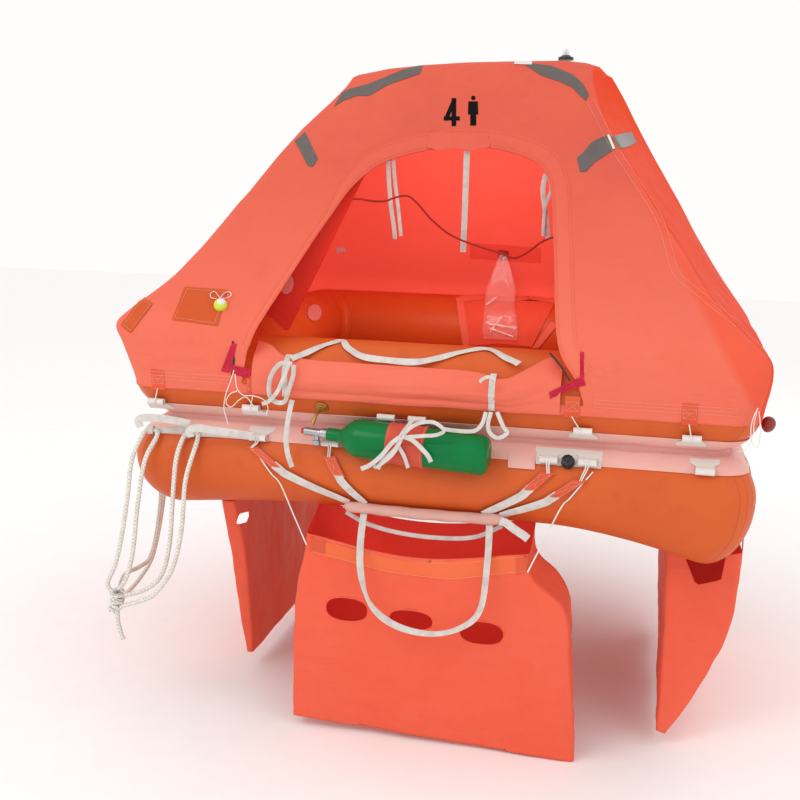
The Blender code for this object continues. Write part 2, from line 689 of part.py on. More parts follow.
def bag_holders():
    for name, roll_x, bag_x in BAG_CORDS:
        run = bag_x - roll_x
        route = [front_point(roll_x + run * part, BAG_CORD_REACH, angle, 0.0) for part, angle in BAG_CORD_WRAP]
        end = Vector((bag_x, BAG_CORD_END[0], BAG_CORD_END[1]))
        route += [route[-1].lerp(end, 0.5), end]
        body = sweep(smooth_route(route, 2), BAG_CORD_R, 8)
        cord = add_mesh("bag_cord_" + name, *body, "webbing_white")
        cut_roll_seat(cord, "front", roll_x)
    reach = TUBE_R + SEAT_GAP + WEB_T / 2
    path = [side_point("right", BAG_STRAP_Y, reach, angle, 0.0) for angle in BAG_STRAP_ANGLES]
    normals = [place - Vector((HALF_X, BAG_STRAP_Y, 0)) for place in path]
    path += [Vector((x, BAG_STRAP_Y, z)) for x, z in BAG_STRAP_DROP]
    normals += [Vector((1, 0, 0))] * len(BAG_STRAP_DROP)
    add_web("bag_strap_right", path, normals, BAG_STRAP_W, "label_orange")


def cut_roll_seat(obj, side, along):
    """Trims the end of a cord that leaves a T-patch's roll on the lower band, to seat it on the roll."""
    start = side_point(side, along - ROLL_W, ROLL_RADIUS_FROM_AXIS, ROLL_ANGLE, 0.0)
    radius = ROLL_R + 2 * SEAT_GAP
    seat = turned(start, (1, 0, 0), ((0, radius), (2 * ROLL_W, radius)), 16)
    boolean(obj, hide_helper(add_mesh(obj.name + "_seat", *seat, "webbing_white")), "DIFFERENCE")


def web_on_tube(name, route, axis_z, reach, width, paint, parent=None, steps=4, thickness=WEB_T):
    """Webbing that lies over the front tube: route rows are x, angle and a rise off the surface."""
    smooth = smooth_route([(x, angle / 100.0, rise) for x, angle, rise in route], steps)
    path = [front_point(p.x, reach + p.z, p.y * 100.0, axis_z) for p in smooth]
    normals = [front_point(p.x, 1.0, p.y * 100.0, 0.0) - front_point(p.x, 0.0, 0.0, 0.0) for p in smooth]
    return add_web(name, path, normals, width, paint, parent, thickness)


def add_web(name, path, normals, width, paint, parent=None, thickness=WEB_T):
    points, faces = ribbon(path, normals, width, thickness)
    return attach(add_mesh(name, points, faces, paint, sharp_deg=50), parent)


def attach(obj, parent):
    if parent:
        obj.parent = parent
        obj.location = obj.location - parent.location
    return obj


LADDER_STRAPS = (
    # name, roll_x, pad_x, pad_angle, end_x, end_angle
    ("left_outer", -0.478, -0.449, 14, -0.212, -38.5),
    ("left_inner", -0.266, -0.250, 10, -0.166, -38.5),
    ("right_inner", 0.334, 0.308, 11, 0.166, -38.5),
    ("right_outer", 0.436, 0.384, 5, 0.214, -38.5),
)
PAD_LENGTH = 0.052
PAD_W = 0.034
PAD_T = 0.004
PAD_GAP = 0.0006
PAD_LEAN = 0.75
LINK_W = 0.008
LINK_T = 0.003
LINK_LAP = 3
RUNG_R = 0.0125
RUNG_ANGLE = -42
RUNG_REACH = TUBE_R + STRAP_CLEARANCE + 0.013
RUNG_HALF_L = 0.225
FOOT_LOOP = (
    # x, y, z
    (-0.168, -0.8337, -0.107), (-0.162, -0.890, -0.180), (-0.152, -0.915, -0.260), (-0.122, -0.915, -0.345),
    (-0.052, -0.915, -0.395), (0.047, -0.915, -0.408), (0.130, -0.915, -0.380), (0.180, -0.915, -0.320),
    (0.190, -0.890, -0.190), (0.184, -0.8337, -0.107),
)


def add_rung(name, radius, parent):
    ends = [front_point(x, RUNG_REACH, RUNG_ANGLE, 0.0) for x in (-RUNG_HALF_L, RUNG_HALF_L)]
    length = 2 * RUNG_HALF_L
    profile = ((0, radius / 2), (0.012, radius), (length - 0.012, radius), (length, radius / 2))
    return attach(add_mesh(name, *turned(ends[0], ends[1] - ends[0], profile, 12), "band_pink"), parent)


def boarding_ladder():
    axis_place = front_point(0.0, ROLL_RADIUS_FROM_AXIS, ROLL_ANGLE, 0.0)
    hinge = bpy.data.objects.new("boarding_ladder_hinge", None)
    hinge.location = axis_place
    bpy.context.collection.objects.link(hinge)
    reach = TUBE_R + STRAP_CLEARANCE + PAD_T / 2
    rung_seat = hide_helper(add_rung("ladder_rung_seat", RUNG_R + 2 * SEAT_GAP, hinge))
    for name, roll_x, pad_x, pad_angle, end_x, end_angle in LADDER_STRAPS:
        lean = PAD_LEAN * (end_x - pad_x) / (end_angle - pad_angle)
        half_angle = math.degrees(PAD_LENGTH / 2 / TUBE_R)
        pad_route = [(pad_x + lean * turn, pad_angle + turn, 0.0) for turn in (half_angle, 0, -half_angle)]
        pad = web_on_tube("ladder_pad_" + name, pad_route, 0.0, reach, PAD_W, "pad_red", hinge, 3, PAD_T)
        top = Vector(pad_route[0])
        link = [
            front_point(roll_x, ROLL_RADIUS_FROM_AXIS, ROLL_ANGLE, 0.0),
            front_point(top.x - LINK_LAP * lean, reach, top.y - LINK_LAP, 0.0),
        ]
        facing = [outward("front", 30)] * 2
        lacing = add_web("ladder_lacing_" + name, link, facing, LINK_W, "webbing_white", hinge, LINK_T)
        boolean(pad, hide_helper(lacing), "UNION")
        cut_roll_seat(pad, "front", roll_x)
        start = -half_angle - math.degrees(PAD_GAP / TUBE_R)
        route = [(pad_x + lean * turn, pad_angle + turn, 0.0) for turn in (start, start - 5)]
        start_x, start_angle, _ = route[-1]
        for part in (0.4, 0.75):
            turned_to = start_angle + (end_angle - start_angle) * part
            route.append((start_x + (end_x - start_x) * part, turned_to, 0.0))
        route.append((end_x, end_angle, 0.003))
        strap = web_on_tube("ladder_strap_" + name, route, 0.0, reach, WEB_W, "webbing_white", hinge)
        boolean(strap, rung_seat, "DIFFERENCE")
    add_rung("ladder_rung", RUNG_R, hinge)
    path = smooth_route(FOOT_LOOP, 4)
    add_web("ladder_foot_loop", path, [(0, -1, 0.2)] * len(path), 0.018, "webbing_white", hinge)


# Gas cylinder, held against the joint of the two tubes by a strap.
CYLINDER_R = 0.0535
CYLINDER_LEFT = Vector((-0.226, -0.8685, 0.1138))
CYLINDER_RIGHT = Vector((0.182, -0.8840, 0.0918))
NECK_R = 0.017
NECK_L = 0.040
CYLINDER_SIDES = 20
VALVE_PROFILE = (
    # distance along the cylinder's axis, radius
    (-0.075, 0.005), (-0.074, 0.008), (-0.068, 0.008), (-0.066, 0.010), (-0.022, 0.011), (-0.020, 0.014),
    (0.0, 0.014),
)
STRAP_HALF_W = 0.055
STRAP_T = 0.003
STRAP_PLACE = 0.46


def gas_cylinder():
    axis = (CYLINDER_RIGHT - CYLINDER_LEFT)
    length = axis.length
    profile = (
        (-NECK_L, NECK_R), (-0.012, NECK_R), (0.004, 0.024), (0.020, 0.041), (0.040, 0.051), (0.060, CYLINDER_R),
        (length - 0.016, CYLINDER_R), (length - 0.005, 0.050), (length, 0.043),
    )
    add_mesh("gas_cylinder", *turned(CYLINDER_LEFT, axis, profile, CYLINDER_SIDES), "cylinder_green")
    axis.normalize()
    start = CYLINDER_LEFT - axis * (NECK_L + SEAT_GAP)
    add_mesh("cylinder_valve", *turned(start, axis, VALVE_PROFILE, 12), "steel")
    middle = CYLINDER_LEFT + axis * (length * STRAP_PLACE)
    inner = CYLINDER_R + SEAT_GAP
    outer = inner + STRAP_T
    rings = []
    edges = ((-STRAP_HALF_W, inner), (STRAP_HALF_W, inner), (STRAP_HALF_W, outer), (-STRAP_HALF_W, outer))
    for spoke in spokes_round(axis, CYLINDER_SIDES):
        rings.append([middle + axis * along + spoke * radius for along, radius in edges])
    add_mesh("cylinder_strap", *loft(rings, ends="cyclic"), "pad_red", origin=middle)


# Small fittings: what they are made of, and their turned profiles.
INLET_X, INLET_ANGLE = -0.293, -29
FACET_DROP = 0.0006
INLET_PROFILE = ((0, 0.019), (0.004, 0.019), (0.007, 0.012), (0.019, 0.010), (0.020, 0.007))
RELIEF_X, RELIEF_ANGLE = 0.385, 38
RELIEF_PROFILE = ((0, 0.016), (0.012, 0.0165), (0.020, 0.015), (0.024, 0.010))
TOP_LIGHT_X, TOP_LIGHT_Y = 0.262, ARCH_Y + 0.02
TOP_LIGHT_BASE = ((0, 0.024), (0.010, 0.024), (0.014, 0.014))
TOP_LIGHT_DOME = ((0, 0.011), (0.010, 0.011), (0.018, 0.007), (0.021, 0.002))


def fitting_on_tube(name, x, reach, angle, axis_z, profile, paint):
    seat = front_point(x, reach, angle, axis_z)
    out = front_point(x, reach + 1.0, angle, axis_z) - seat
    add_mesh(name, *turned(seat, out, profile, 12), paint)


def fittings():
    reach = TUBE_R + SEAT_GAP - FACET_DROP
    fitting_on_tube("inflation_inlet", INLET_X, reach, INLET_ANGLE, UPPER_Z, INLET_PROFILE, "brass")
    reach = TUBE_R + SEAT_GAP + BAND_T + SEAT_GAP
    fitting_on_tube("relief_valve", RELIEF_X, reach, RELIEF_ANGLE, 0.0, RELIEF_PROFILE, "black_plastic")
    base = Vector((TOP_LIGHT_X, TOP_LIGHT_Y, RIDGE_Z + ridge_lift(TOP_LIGHT_X) + SEAT_GAP))
    add_mesh("top_light_base", *turned(base, (0, 0, 1), TOP_LIGHT_BASE, 12), "black_plastic")
    dome = base + Vector((0, 0, TOP_LIGHT_BASE[-1][0] + SEAT_GAP))
    add_mesh("top_light_dome", *turned(dome, (0, 0, 1), TOP_LIGHT_DOME, 12), "clear_plastic")


# Webbing over the sill: place along X, angle on the upper tube, height over the tube's surface.
SILL_ROUTE = (
    (-0.374, 31, 0.024), (-0.340, 44, 0.009), (-0.290, 66, 0.0018), (-0.258, 76, 0.0018), (-0.232, 58, 0.004),
    (-0.183, 41, 0.018), (-0.110, 37, 0.021), (-0.030, 37, 0.020), (0.025, 48, 0.006), (0.084, 64, 0.0018),
    (0.147, 76, 0.0018), (0.205, 56, 0.004), (0.244, 42, 0.020),
)
CURTAIN_TIES = (
    # name, x, top_angle and thickness of the curtain there
    ("left", -0.390, 34, 0.020),
    ("right", 0.180, 24.5, 0.022),
)
TIE_W = 0.016


def sill_web_and_ties():
    web_on_tube("sill_web", SILL_ROUTE, UPPER_Z, TUBE_R, 0.018, "webbing_white")
    for name, x, top_angle, thickness in CURTAIN_TIES:
        route = []
        for part in (1.0, 0.8, 0.6, 0.4, 0.2, 0.0):
            angle = CURTAIN_BOTTOM_ANGLE + (top_angle - CURTAIN_BOTTOM_ANGLE) * part
            route.append((x, angle, curtain_reach(thickness, part) + WEB_T))
        web_on_tube("curtain_tie_" + name, route, UPPER_Z, 0.0, TIE_W, "webbing_white", steps=1)


# Rescue quoit: a solid teardrop that hangs on the right side, near the front.
QUOIT_PLACE = Vector((0.8905, -0.735, 0.196))
QUOIT_AXIS = Vector((0.0, -0.75, 0.66))
QUOIT_PROFILE = (
    # distance along its axis, radius
    (-0.030, 0.004), (-0.022, 0.010), (-0.008, 0.016), (0.008, 0.0185), (0.020, 0.015), (0.027, 0.008),
)

# Clear bag of spares. It hangs down the back wall and over the back tube, and is trimmed to lie on it.
SPARES_ROWS = (
    # z, left_x, right_x, front_y, back_y
    (0.205, -0.062, 0.072, 0.590, 0.625), (0.240, -0.068, 0.077, 0.582, 0.622),
    (0.300, -0.065, 0.068, 0.590, 0.642), (0.345, -0.068, 0.055, 0.616, 0.678),
    (0.400, -0.066, 0.050, 0.655, 0.703), (0.460, -0.050, 0.030, 0.682, 0.712),
    (0.533, -0.024, 0.002, 0.704, 0.714),
)


def quoit_and_spares():
    add_mesh("rescue_quoit", *turned(QUOIT_PLACE, QUOIT_AXIS, QUOIT_PROFILE, 12), "quoit_red")
    rings = []
    for z, left, right, front, back in SPARES_ROWS:
        rings.append([Vector((x, y, z)) for x, y in ((left, front), (right, front), (right, back), (left, back))])
    cut_seat(add_mesh("spares_bag", *loft(rings), "clear_plastic", sharp_deg=60), UPPER_Z, sags=False)


# Tow loops on the lower band: side, the sleeve's place along it, and where the webbing is sewn on.
TOW_LOOPS = {
    # name: side, sleeve, sewn
    "corner": ("front", -0.800, -0.700),
    "front": ("front", -0.676, -0.540),
    "side": ("left", -0.545, -0.440),
}
TOW_ANGLE = 40
TOW_LEAN = 5
TOW_W = 0.024
TOW_SLEEVE_R = 0.0125
TOW_SLEEVE_BORE = 0.0074
TOW_SLEEVE_L = 0.012
TOW_REACH = TUBE_R + SEAT_GAP + BAND_T + SEAT_GAP + WEB_T / 2
TOW_SLEEVE_REACH = TOW_REACH + TOW_SLEEVE_R - 0.001


def outward(side, angle_deg):
    """The direction away from a side's tube, at an angle."""
    return side_point(side, 0.0, 1.0, angle_deg, 0.0) - side_point(side, 0.0, 0.0, 0.0, 0.0)


def tow_loops():
    for name, (side, sleeve_at, sewn_at) in TOW_LOOPS.items():
        stops = (sewn_at, (sewn_at + sleeve_at) / 2, sleeve_at - TOW_SLEEVE_L / 2)
        strap = [side_point(side, along, TOW_REACH, TOW_ANGLE + TOW_LEAN, 0.0) for along in stops]
        body = ribbon(strap, [outward(side, TOW_ANGLE + TOW_LEAN)] * 3, TOW_W, WEB_T)
        web = add_mesh("tow_loop_" + name, *body, "webbing_white")
        start = side_point(side, sleeve_at - TOW_SLEEVE_L / 2, TOW_SLEEVE_REACH, TOW_ANGLE - 2, 0.0)
        axis = side_point(side, 1.0, 0.0, 0.0, 0.0) - side_point(side, 0.0, 0.0, 0.0, 0.0)
        sleeve = turned(start, axis, ((0, TOW_SLEEVE_R), (TOW_SLEEVE_L, TOW_SLEEVE_R)), 12)
        bore = turned(start, axis, ((-0.01, TOW_SLEEVE_BORE), (TOW_SLEEVE_L + 0.01, TOW_SLEEVE_BORE)), 12)
        boolean(web, hide_helper(add_mesh("tow_sleeve_" + name, *sleeve, "webbing_white")), "UNION")
        boolean(web, hide_helper(add_mesh("tow_bore_" + name, *bore, "webbing_white")), "DIFFERENCE")


ROPE_R = 0.0065
ROPE_STEPS = 4
KNOT_PLACE = Vector((-0.886, -0.906, -0.415))
KNOT_AXIS = Vector((0.15, 0, 1))
KNOT_R = 0.021
KNOT_HALF_L = 0.050
POCKET_GAP = 0.0007

# The painter's bights: the tow loop of each, then the strands on either side of its sleeve, from the knot up.
PAINTER_BIGHTS = {
    # tow_loop: first_strand, second_strand
    "front": (
        ((-0.872, -0.903, -0.404), (-0.800, -0.893, -0.378), (-0.752, -0.890, -0.330), (-0.727, -0.888, -0.240),
         (-0.716, -0.884, -0.100), (-0.708, -0.876, 0.010)),
        ((-0.872, -0.911, -0.432), (-0.815, -0.912, -0.410), (-0.766, -0.909, -0.384), (-0.712, -0.905, -0.305),
         (-0.684, -0.900, -0.186), (-0.674, -0.888, -0.040)),
    ),
    "corner": (
        ((-0.899, -0.905, -0.396), (-0.914, -0.905, -0.368), (-0.892, -0.903, -0.315), (-0.872, -0.899, -0.235),
         (-0.852, -0.893, -0.110), (-0.842, -0.880, 0.000)),
        ((-0.878, -0.904, -0.380), (-0.860, -0.897, -0.350), (-0.838, -0.895, -0.270), (-0.822, -0.890, -0.130),
         (-0.802, -0.880, 0.000)),
    ),
    "side": (
        ((-0.888, -0.893, -0.398), (-0.892, -0.842, -0.362), (-0.892, -0.744, -0.370), (-0.892, -0.675, -0.366),
         (-0.892, -0.630, -0.311), (-0.892, -0.590, -0.205), (-0.892, -0.570, -0.060)),
        ((-0.890, -0.892, -0.430), (-0.900, -0.820, -0.430), (-0.904, -0.715, -0.415), (-0.904, -0.625, -0.372),
         (-0.902, -0.560, -0.250), (-0.896, -0.530, -0.100), (-0.892, -0.522, 0.000)),
    ),
}
# How the rope bends round its sleeve: along the side, outward and up from the sleeve's middle.
SLEEVE_BEND = (
    (-0.022, 0.011, -0.014), (-0.010, 0, 0), (-0.005, 0, 0), (0.005, 0, 0), (0.010, 0, 0), (0.022, 0.011, -0.014),
)
PAINTER_TAIL = (
    (-0.885, -0.907, -0.440), (-0.884, -0.906, -0.476), (-0.879, -0.905, -0.506), (-0.871, -0.903, -0.536),
)


def painter_route(tow_loop):
    side, sleeve_at, _ = TOW_LOOPS[tow_loop]
    through = side_point(side, sleeve_at, TOW_SLEEVE_REACH, TOW_ANGLE - 2, 0.0)
    ahead = side_point(side, 1.0, 0.0, 0.0, 0.0) - side_point(side, 0.0, 0.0, 0.0, 0.0)
    bend = [through + ahead * x + outward(side, 0) * out + Vector((0, 0, up)) for x, out, up in SLEEVE_BEND]
    first_strand, second_strand = PAINTER_BIGHTS[tow_loop]
    if side == "left":
        bend.reverse()
    return [*map(Vector, first_strand), *bend, *map(Vector, reversed(second_strand))]


def rope(name, route):
    curve = bpy.data.curves.new(name, "CURVE")
    curve.dimensions = "3D"
    curve.bevel_depth = ROPE_R
    curve.bevel_resolution = 2
    curve.use_fill_caps = True
    points = smooth_route(route, ROPE_STEPS)
    spline = curve.splines.new("POLY")
    spline.points.add(len(points) - 1)
    for knot, place in zip(spline.points, points):
        knot.co = (*place, 1.0)
    curve.materials.append(material("webbing_white"))
    obj = bpy.data.objects.new(name, curve)
    bpy.context.collection.objects.link(obj)
    return obj


def painter():
    profile = []
    for k in range(1, 8):
        turn = math.pi * (k / 8 - 0.5)
        profile.append((KNOT_HALF_L * math.sin(turn), KNOT_R * math.cos(turn)))
    knot = add_mesh("painter_knot", *turned(KNOT_PLACE, KNOT_AXIS, profile, 12), "webbing_white")
    ends = {}
    for name in PAINTER_BIGHTS:
        route = painter_route(name)
        rope("painter_bight_" + name, route)
        points = smooth_route(route, ROPE_STEPS)
        ends[name + "_first"] = points[: 2 * ROPE_STEPS]
        ends[name + "_second"] = points[: -2 * ROPE_STEPS : -1]
    rope("painter_tail", PAINTER_TAIL)
    ends["tail"] = smooth_route(PAINTER_TAIL, ROPE_STEPS)
    for name, near in ends.items():
        past = near[0] + (near[0] - near[1]).normalized() * POCKET_GAP
        pocket = add_mesh("pocket_" + name, *sweep([past, *near], ROPE_R + POCKET_GAP, 12), "webbing_white")
        boolean(knot, hide_helper(pocket), "DIFFERENCE")


def main():
    clear_scene()
    buoyancy_tube("lower_tube", 0.0, sags=True)
    buoyancy_tube("upper_tube", UPPER_Z, sags=False)
    floor_sheet()
    arch()
    canopy()
    door_curtain()
    lacing_band("lacing_band_upper", UPPER_Z, (-64, -45, -42), UPPER_PATCHES, (-54, -45, -42), -32)
    lacing_band("lacing_band_lower", 0.0, (38, 45, 64), LOWER_PATCHES, (42, 45, 60), ROLL_ANGLE)
    front_bag()
    side_bags()
    boarding_ladder()
    gas_cylinder()
    fittings()
    sill_web_and_ties()
    bag_holders()
    quoit_and_spares()
    tow_loops()
    painter()


main()
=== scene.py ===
"""Looks of a four-person canopied life raft, built over its CAD frame."""
import math

import bpy
import numpy as np
from mathutils import Matrix, Vector, noise
from mathutils.bvhtree import BVHTree


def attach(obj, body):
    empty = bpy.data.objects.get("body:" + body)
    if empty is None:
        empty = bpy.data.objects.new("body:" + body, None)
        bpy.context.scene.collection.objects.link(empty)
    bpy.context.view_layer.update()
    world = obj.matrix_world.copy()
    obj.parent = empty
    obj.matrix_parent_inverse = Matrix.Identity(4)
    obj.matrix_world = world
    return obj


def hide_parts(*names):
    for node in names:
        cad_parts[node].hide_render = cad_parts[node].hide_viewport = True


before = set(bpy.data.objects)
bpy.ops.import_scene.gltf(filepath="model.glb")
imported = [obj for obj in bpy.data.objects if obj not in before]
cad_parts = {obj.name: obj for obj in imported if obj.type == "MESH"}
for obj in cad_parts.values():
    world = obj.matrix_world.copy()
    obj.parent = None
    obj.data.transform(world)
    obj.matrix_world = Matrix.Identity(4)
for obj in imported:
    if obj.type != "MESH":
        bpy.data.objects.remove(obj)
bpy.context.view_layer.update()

# Camera: the photograph's viewpoint, in the raft's frame.
FRAME_PX = 800
FOCAL_PX = 1105.0
SENSOR_MM = 36.0
EYE = Vector((0.565, -3.70, 0.78))
YAW, PITCH, ROLL = (math.radians(a) for a in (-12.55, 10.85, 1.4))
AHEAD = Vector((math.sin(YAW) * math.cos(PITCH), math.cos(YAW) * math.cos(PITCH), -math.sin(PITCH)))
LEVEL = Vector((math.cos(YAW), -math.sin(YAW), 0.0))
RISE = LEVEL.cross(AHEAD)
RIGHT = LEVEL * math.cos(ROLL) + RISE * math.sin(ROLL)
UP = -LEVEL * math.sin(ROLL) + RISE * math.cos(ROLL)


def ray(px, py):
    """The direction in which the camera sees this pixel."""
    return (AHEAD + RIGHT * ((px - FRAME_PX / 2) / FOCAL_PX) + UP * ((FRAME_PX / 2 - py) / FOCAL_PX)).normalized()


def at_y(px, py, y):
    """The place on the plane at this Y that the camera sees at this pixel."""
    aim = ray(px, py)
    return EYE + aim * ((y - EYE.y) / aim.y)


camera = bpy.data.objects.new("camera", bpy.data.cameras.new("camera"))
camera.data.lens = FOCAL_PX * SENSOR_MM / FRAME_PX
camera.data.sensor_width = SENSOR_MM
camera.data.clip_end = 60.0
camera.matrix_world = Matrix((
    (RIGHT.x, UP.x, -AHEAD.x, EYE.x), (RIGHT.y, UP.y, -AHEAD.y, EYE.y),
    (RIGHT.z, UP.z, -AHEAD.z, EYE.z), (0, 0, 0, 1),
))
bpy.context.scene.collection.objects.link(camera)
bpy.context.scene.camera = camera

# Main sizes, as in the CAD model.
TUBE_R = 0.12
HALF_X, HALF_Y = 0.755, 0.730
UPPER_Z = 0.2403
OUTER_CORNER_R, INNER_CORNER_R = 0.09, 0.02
CORNER_SAG_REACH = 0.45
CORNER_SAG = {(-1, -1): 0.055, (1, -1): 0.140, (1, 1): 0.080, (-1, 1): 0.055}
CORNER_SAG_ROUND = 0.45
RIDGE_Z = 1.15
ARCH_Y = -0.075
ARCH_R = 0.065
FLOOR_Z = -0.7695
ROPE_R = 0.0065
FABRIC_THICKNESS = 0.0014
PATCH_THICKNESS = 0.0007


# Mesh helpers.

def spline(first, start, end, last, t):
    """The smooth curve from start to end that also heeds the points before and after them, at t from 0 to 1."""
    return 0.5 * (2 * start + (end - first) * t + (2 * first - 5 * start + 4 * end - last) * t * t
                  + (3 * start - first - 3 * end + last) * t ** 3)


def smooth_route(route, steps):
    """A smooth line through the points of a route, with this many steps from each point to the next."""
    knots = [Vector(p) for p in route]
    knots = [2 * knots[0] - knots[1]] + knots + [2 * knots[-1] - knots[-2]]
    points = []
    for nearby in zip(knots, knots[1:], knots[2:], knots[3:]):
        points += [spline(*nearby, step / steps) for step in range(steps)]
    return points + [knots[-2]]


def pixel_route(line, steps):
    """The same through pixels."""
    return smooth_route([(*p, 0) for p in line], steps)


def length_of(path):
    return sum((Vector(b) - Vector(a)).length for a, b in zip(path, path[1:]))


def resample(points, count):
    """Points at even distances along a line."""
    points = [Vector(p) for p in points]
    along = [0.0]
    for a, b in zip(points, points[1:]):
        along.append(along[-1] + (b - a).length)
    found, k = [], 0
    for step in range(count):
        want = along[-1] * step / (count - 1)
        while k < len(points) - 2 and along[k + 1] < want:
            k += 1
        part = (want - along[k]) / max(along[k + 1] - along[k], 1e-9)
        found.append(points[k].lerp(points[k + 1], min(max(part, 0.0), 1.0)))
    return found


def finish_mesh(mesh, material, sharp=None):
    mesh.validate()
    mesh.shade_smooth()
    if sharp:
        mesh.set_sharp_from_angle(angle=math.radians(sharp))
    mesh.materials.append(material)


def add_piece(name, points, faces, material, body="raft", uvs=None, sharp=None, stands_for=(), slot=None):
    """One piece of the visual model. uvs has one pair per point."""
    mesh = bpy.data.meshes.new(name)
    mesh.from_pydata([tuple(p) for p in points], [], [tuple(f) for f in faces])
    if uvs is not None:
        layer = mesh.uv_layers.new(name="metres")
        corner_points = np.empty(len(mesh.loops), np.int32)
        mesh.loops.foreach_get("vertex_index", corner_points)
        layer.data.foreach_set("uv", np.asarray(uvs, np.float32)[corner_points].ravel())
    finish_mesh(mesh, material, sharp)
    obj = bpy.data.objects.new(name, mesh)
    bpy.context.scene.collection.objects.link(obj)
    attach(obj, body)
    if stands_for:
        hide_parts(*stands_for)
    return obj


def grid_of(rows, cols, place):
    """A grid of points, where place gives the one at a row and a column."""
    return [[tuple(place(r, c)) for c in range(cols)] for r in range(rows)]


def square_to(axis):
    """Two directions square to an axis and to each other."""
    side = axis.orthogonal().normalized()
    return side, axis.cross(side)


def around(side, across, turn):
    """The direction at this angle from one direction towards another one square to it."""
    return side * math.cos(turn) + across * math.sin(turn)


def grid_uvs(grid):
    """Distances along and across a grid of points, in metres."""
    grid = np.asarray(grid, float)
    rows, cols = grid.shape[:2]
    u = np.zeros((rows, cols))
    v = np.zeros((rows, cols))
    u[:, 1:] = np.cumsum(np.linalg.norm(np.diff(grid, axis=1), axis=2), axis=1)
    v[1:, :] = np.cumsum(np.linalg.norm(np.diff(grid, axis=0), axis=2), axis=0)
    return np.stack([u.mean(axis=0)[None, :].repeat(rows, 0), v.mean(axis=1)[:, None].repeat(cols, 1)], axis=2)


def grid_faces(rows, cols, closed_rows=False, closed_cols=False):
    """Quads between the points of a grid, as indices into its points row by row."""
    faces = []
    for r in range(rows if closed_rows else rows - 1):
        below = (r + 1) % rows
        for c in range(cols if closed_cols else cols - 1):
            beside = (c + 1) % cols
            faces.append((r * cols + c, r * cols + beside, below * cols + beside, below * cols + c))
    return faces


def tube_faces(rows, sides):
    """The faces round a tube of points, with a flat cap at each end."""
    faces = grid_faces(rows, sides, closed_cols=True)
    return faces + [tuple(range(sides))[::-1], tuple((rows - 1) * sides + j for j in range(sides))]


def round_uvs(grid):
    """Distances along and across a grid that closes on itself sideways, one pair for each point."""
    return grid_uvs(np.concatenate([grid, grid[:, :1]], axis=1))[:, :-1].reshape(-1, 2)


def closed_uvs(grid):
    """The same for a grid that closes on itself both ways."""
    return round_uvs(np.concatenate([grid, grid[:1]]))[:-grid.shape[1]]


def grid_normals(grid, closed_rows=False, closed_cols=False):
    """The direction out of a grid of points at each of them."""
    grid = np.asarray(grid, float)
    if closed_cols:
        along = np.roll(grid, -1, 1) - np.roll(grid, 1, 1)
    else:
        along = np.gradient(grid, axis=1)
    if closed_rows:
        down = np.roll(grid, -1, 0) - np.roll(grid, 1, 0)
    else:
        down = np.gradient(grid, axis=0)
    normal = np.cross(along, down)
    return normal / np.maximum(np.linalg.norm(normal, axis=2, keepdims=True), 1e-9)


def raised(grid, lift):
    """A grid of places moved out along its normals."""
    return [[Vector(p) + Vector(n) * lift for p, n in zip(row, out)] for row, out in zip(grid, grid_normals(grid))]


def solid_sheet(name, grid, thickness, material, **words):
    """A thin closed solid with the grid as its front and its back set in along the normals."""
    grid = np.asarray(grid, float)
    rows, cols = grid.shape[:2]
    back = grid - grid_normals(grid) * thickness
    count = rows * cols
    points = np.concatenate([grid.reshape(-1, 3), back.reshape(-1, 3)])
    faces = grid_faces(rows, cols)
    faces += [tuple(count + k for k in reversed(face)) for face in grid_faces(rows, cols)]
    rim = list(range(cols)) + [r * cols + cols - 1 for r in range(1, rows)]
    rim += [(rows - 1) * cols + c for c in range(cols - 2, -1, -1)] + [r * cols for r in range(rows - 2, 0, -1)]
    faces += [(b, a, a + count, b + count) for a, b in zip(rim, rim[1:] + rim[:1])]
    uvs = np.tile(grid_uvs(grid).reshape(-1, 2), (2, 1))
    return add_piece(name, points, faces, material, uvs=uvs, sharp=words.pop("sharp", 50), **words)


def bumps(points, scale, seed=0.0):
    """Smooth noise at each point, from -1 to 1."""
    shift = Vector((seed, seed * 1.7, -seed))
    return np.array([noise.noise(Vector(p) * scale + shift) for p in np.asarray(points, float).reshape(-1, 3)])


def displaced(grid, amounts, **closed):
    """A grid whose points are moved out along its normals, each by its own amount."""
    grid = np.asarray(grid, float)
    return grid + grid_normals(grid, **closed) * np.asarray(amounts).reshape(grid.shape[0], grid.shape[1], 1)


def bvh_of(grid, closed_cols=False):
    grid = np.asarray(grid, float)
    rows, cols = grid.shape[:2]
    points = [Vector(p) for p in grid.reshape(-1, 3)]
    return BVHTree.FromPolygons(points, grid_faces(rows, cols, closed_cols=closed_cols))


def rod(name, path, radius, material, sides=10, profile=None, **words):
    """A round rod along a path. profile gives the radius at a part of the length."""
    path = [Vector(p) for p in path]
    side = Vector((0.13, 0.27, 1.0)).normalized()
    points, uvs, along = [], [], 0.0
    for k, place in enumerate(path):
        ahead = (path[min(k + 1, len(path) - 1)] - path[max(k - 1, 0)]).normalized()
        side = (side - ahead * side.dot(ahead)).normalized()
        across = ahead.cross(side)
        r = radius if profile is None else radius * profile(k / (len(path) - 1))
        if k:
            along += (place - path[k - 1]).length
        for j in range(sides):
            a = math.tau * j / sides
            points.append(place + around(side, across, a) * r)
            uvs.append((math.tau * radius * j / sides, along))
    faces = [face[::-1] for face in tube_faces(len(path), sides)]
    return add_piece(name, points, faces, material, uvs=uvs, sharp=60, **words)


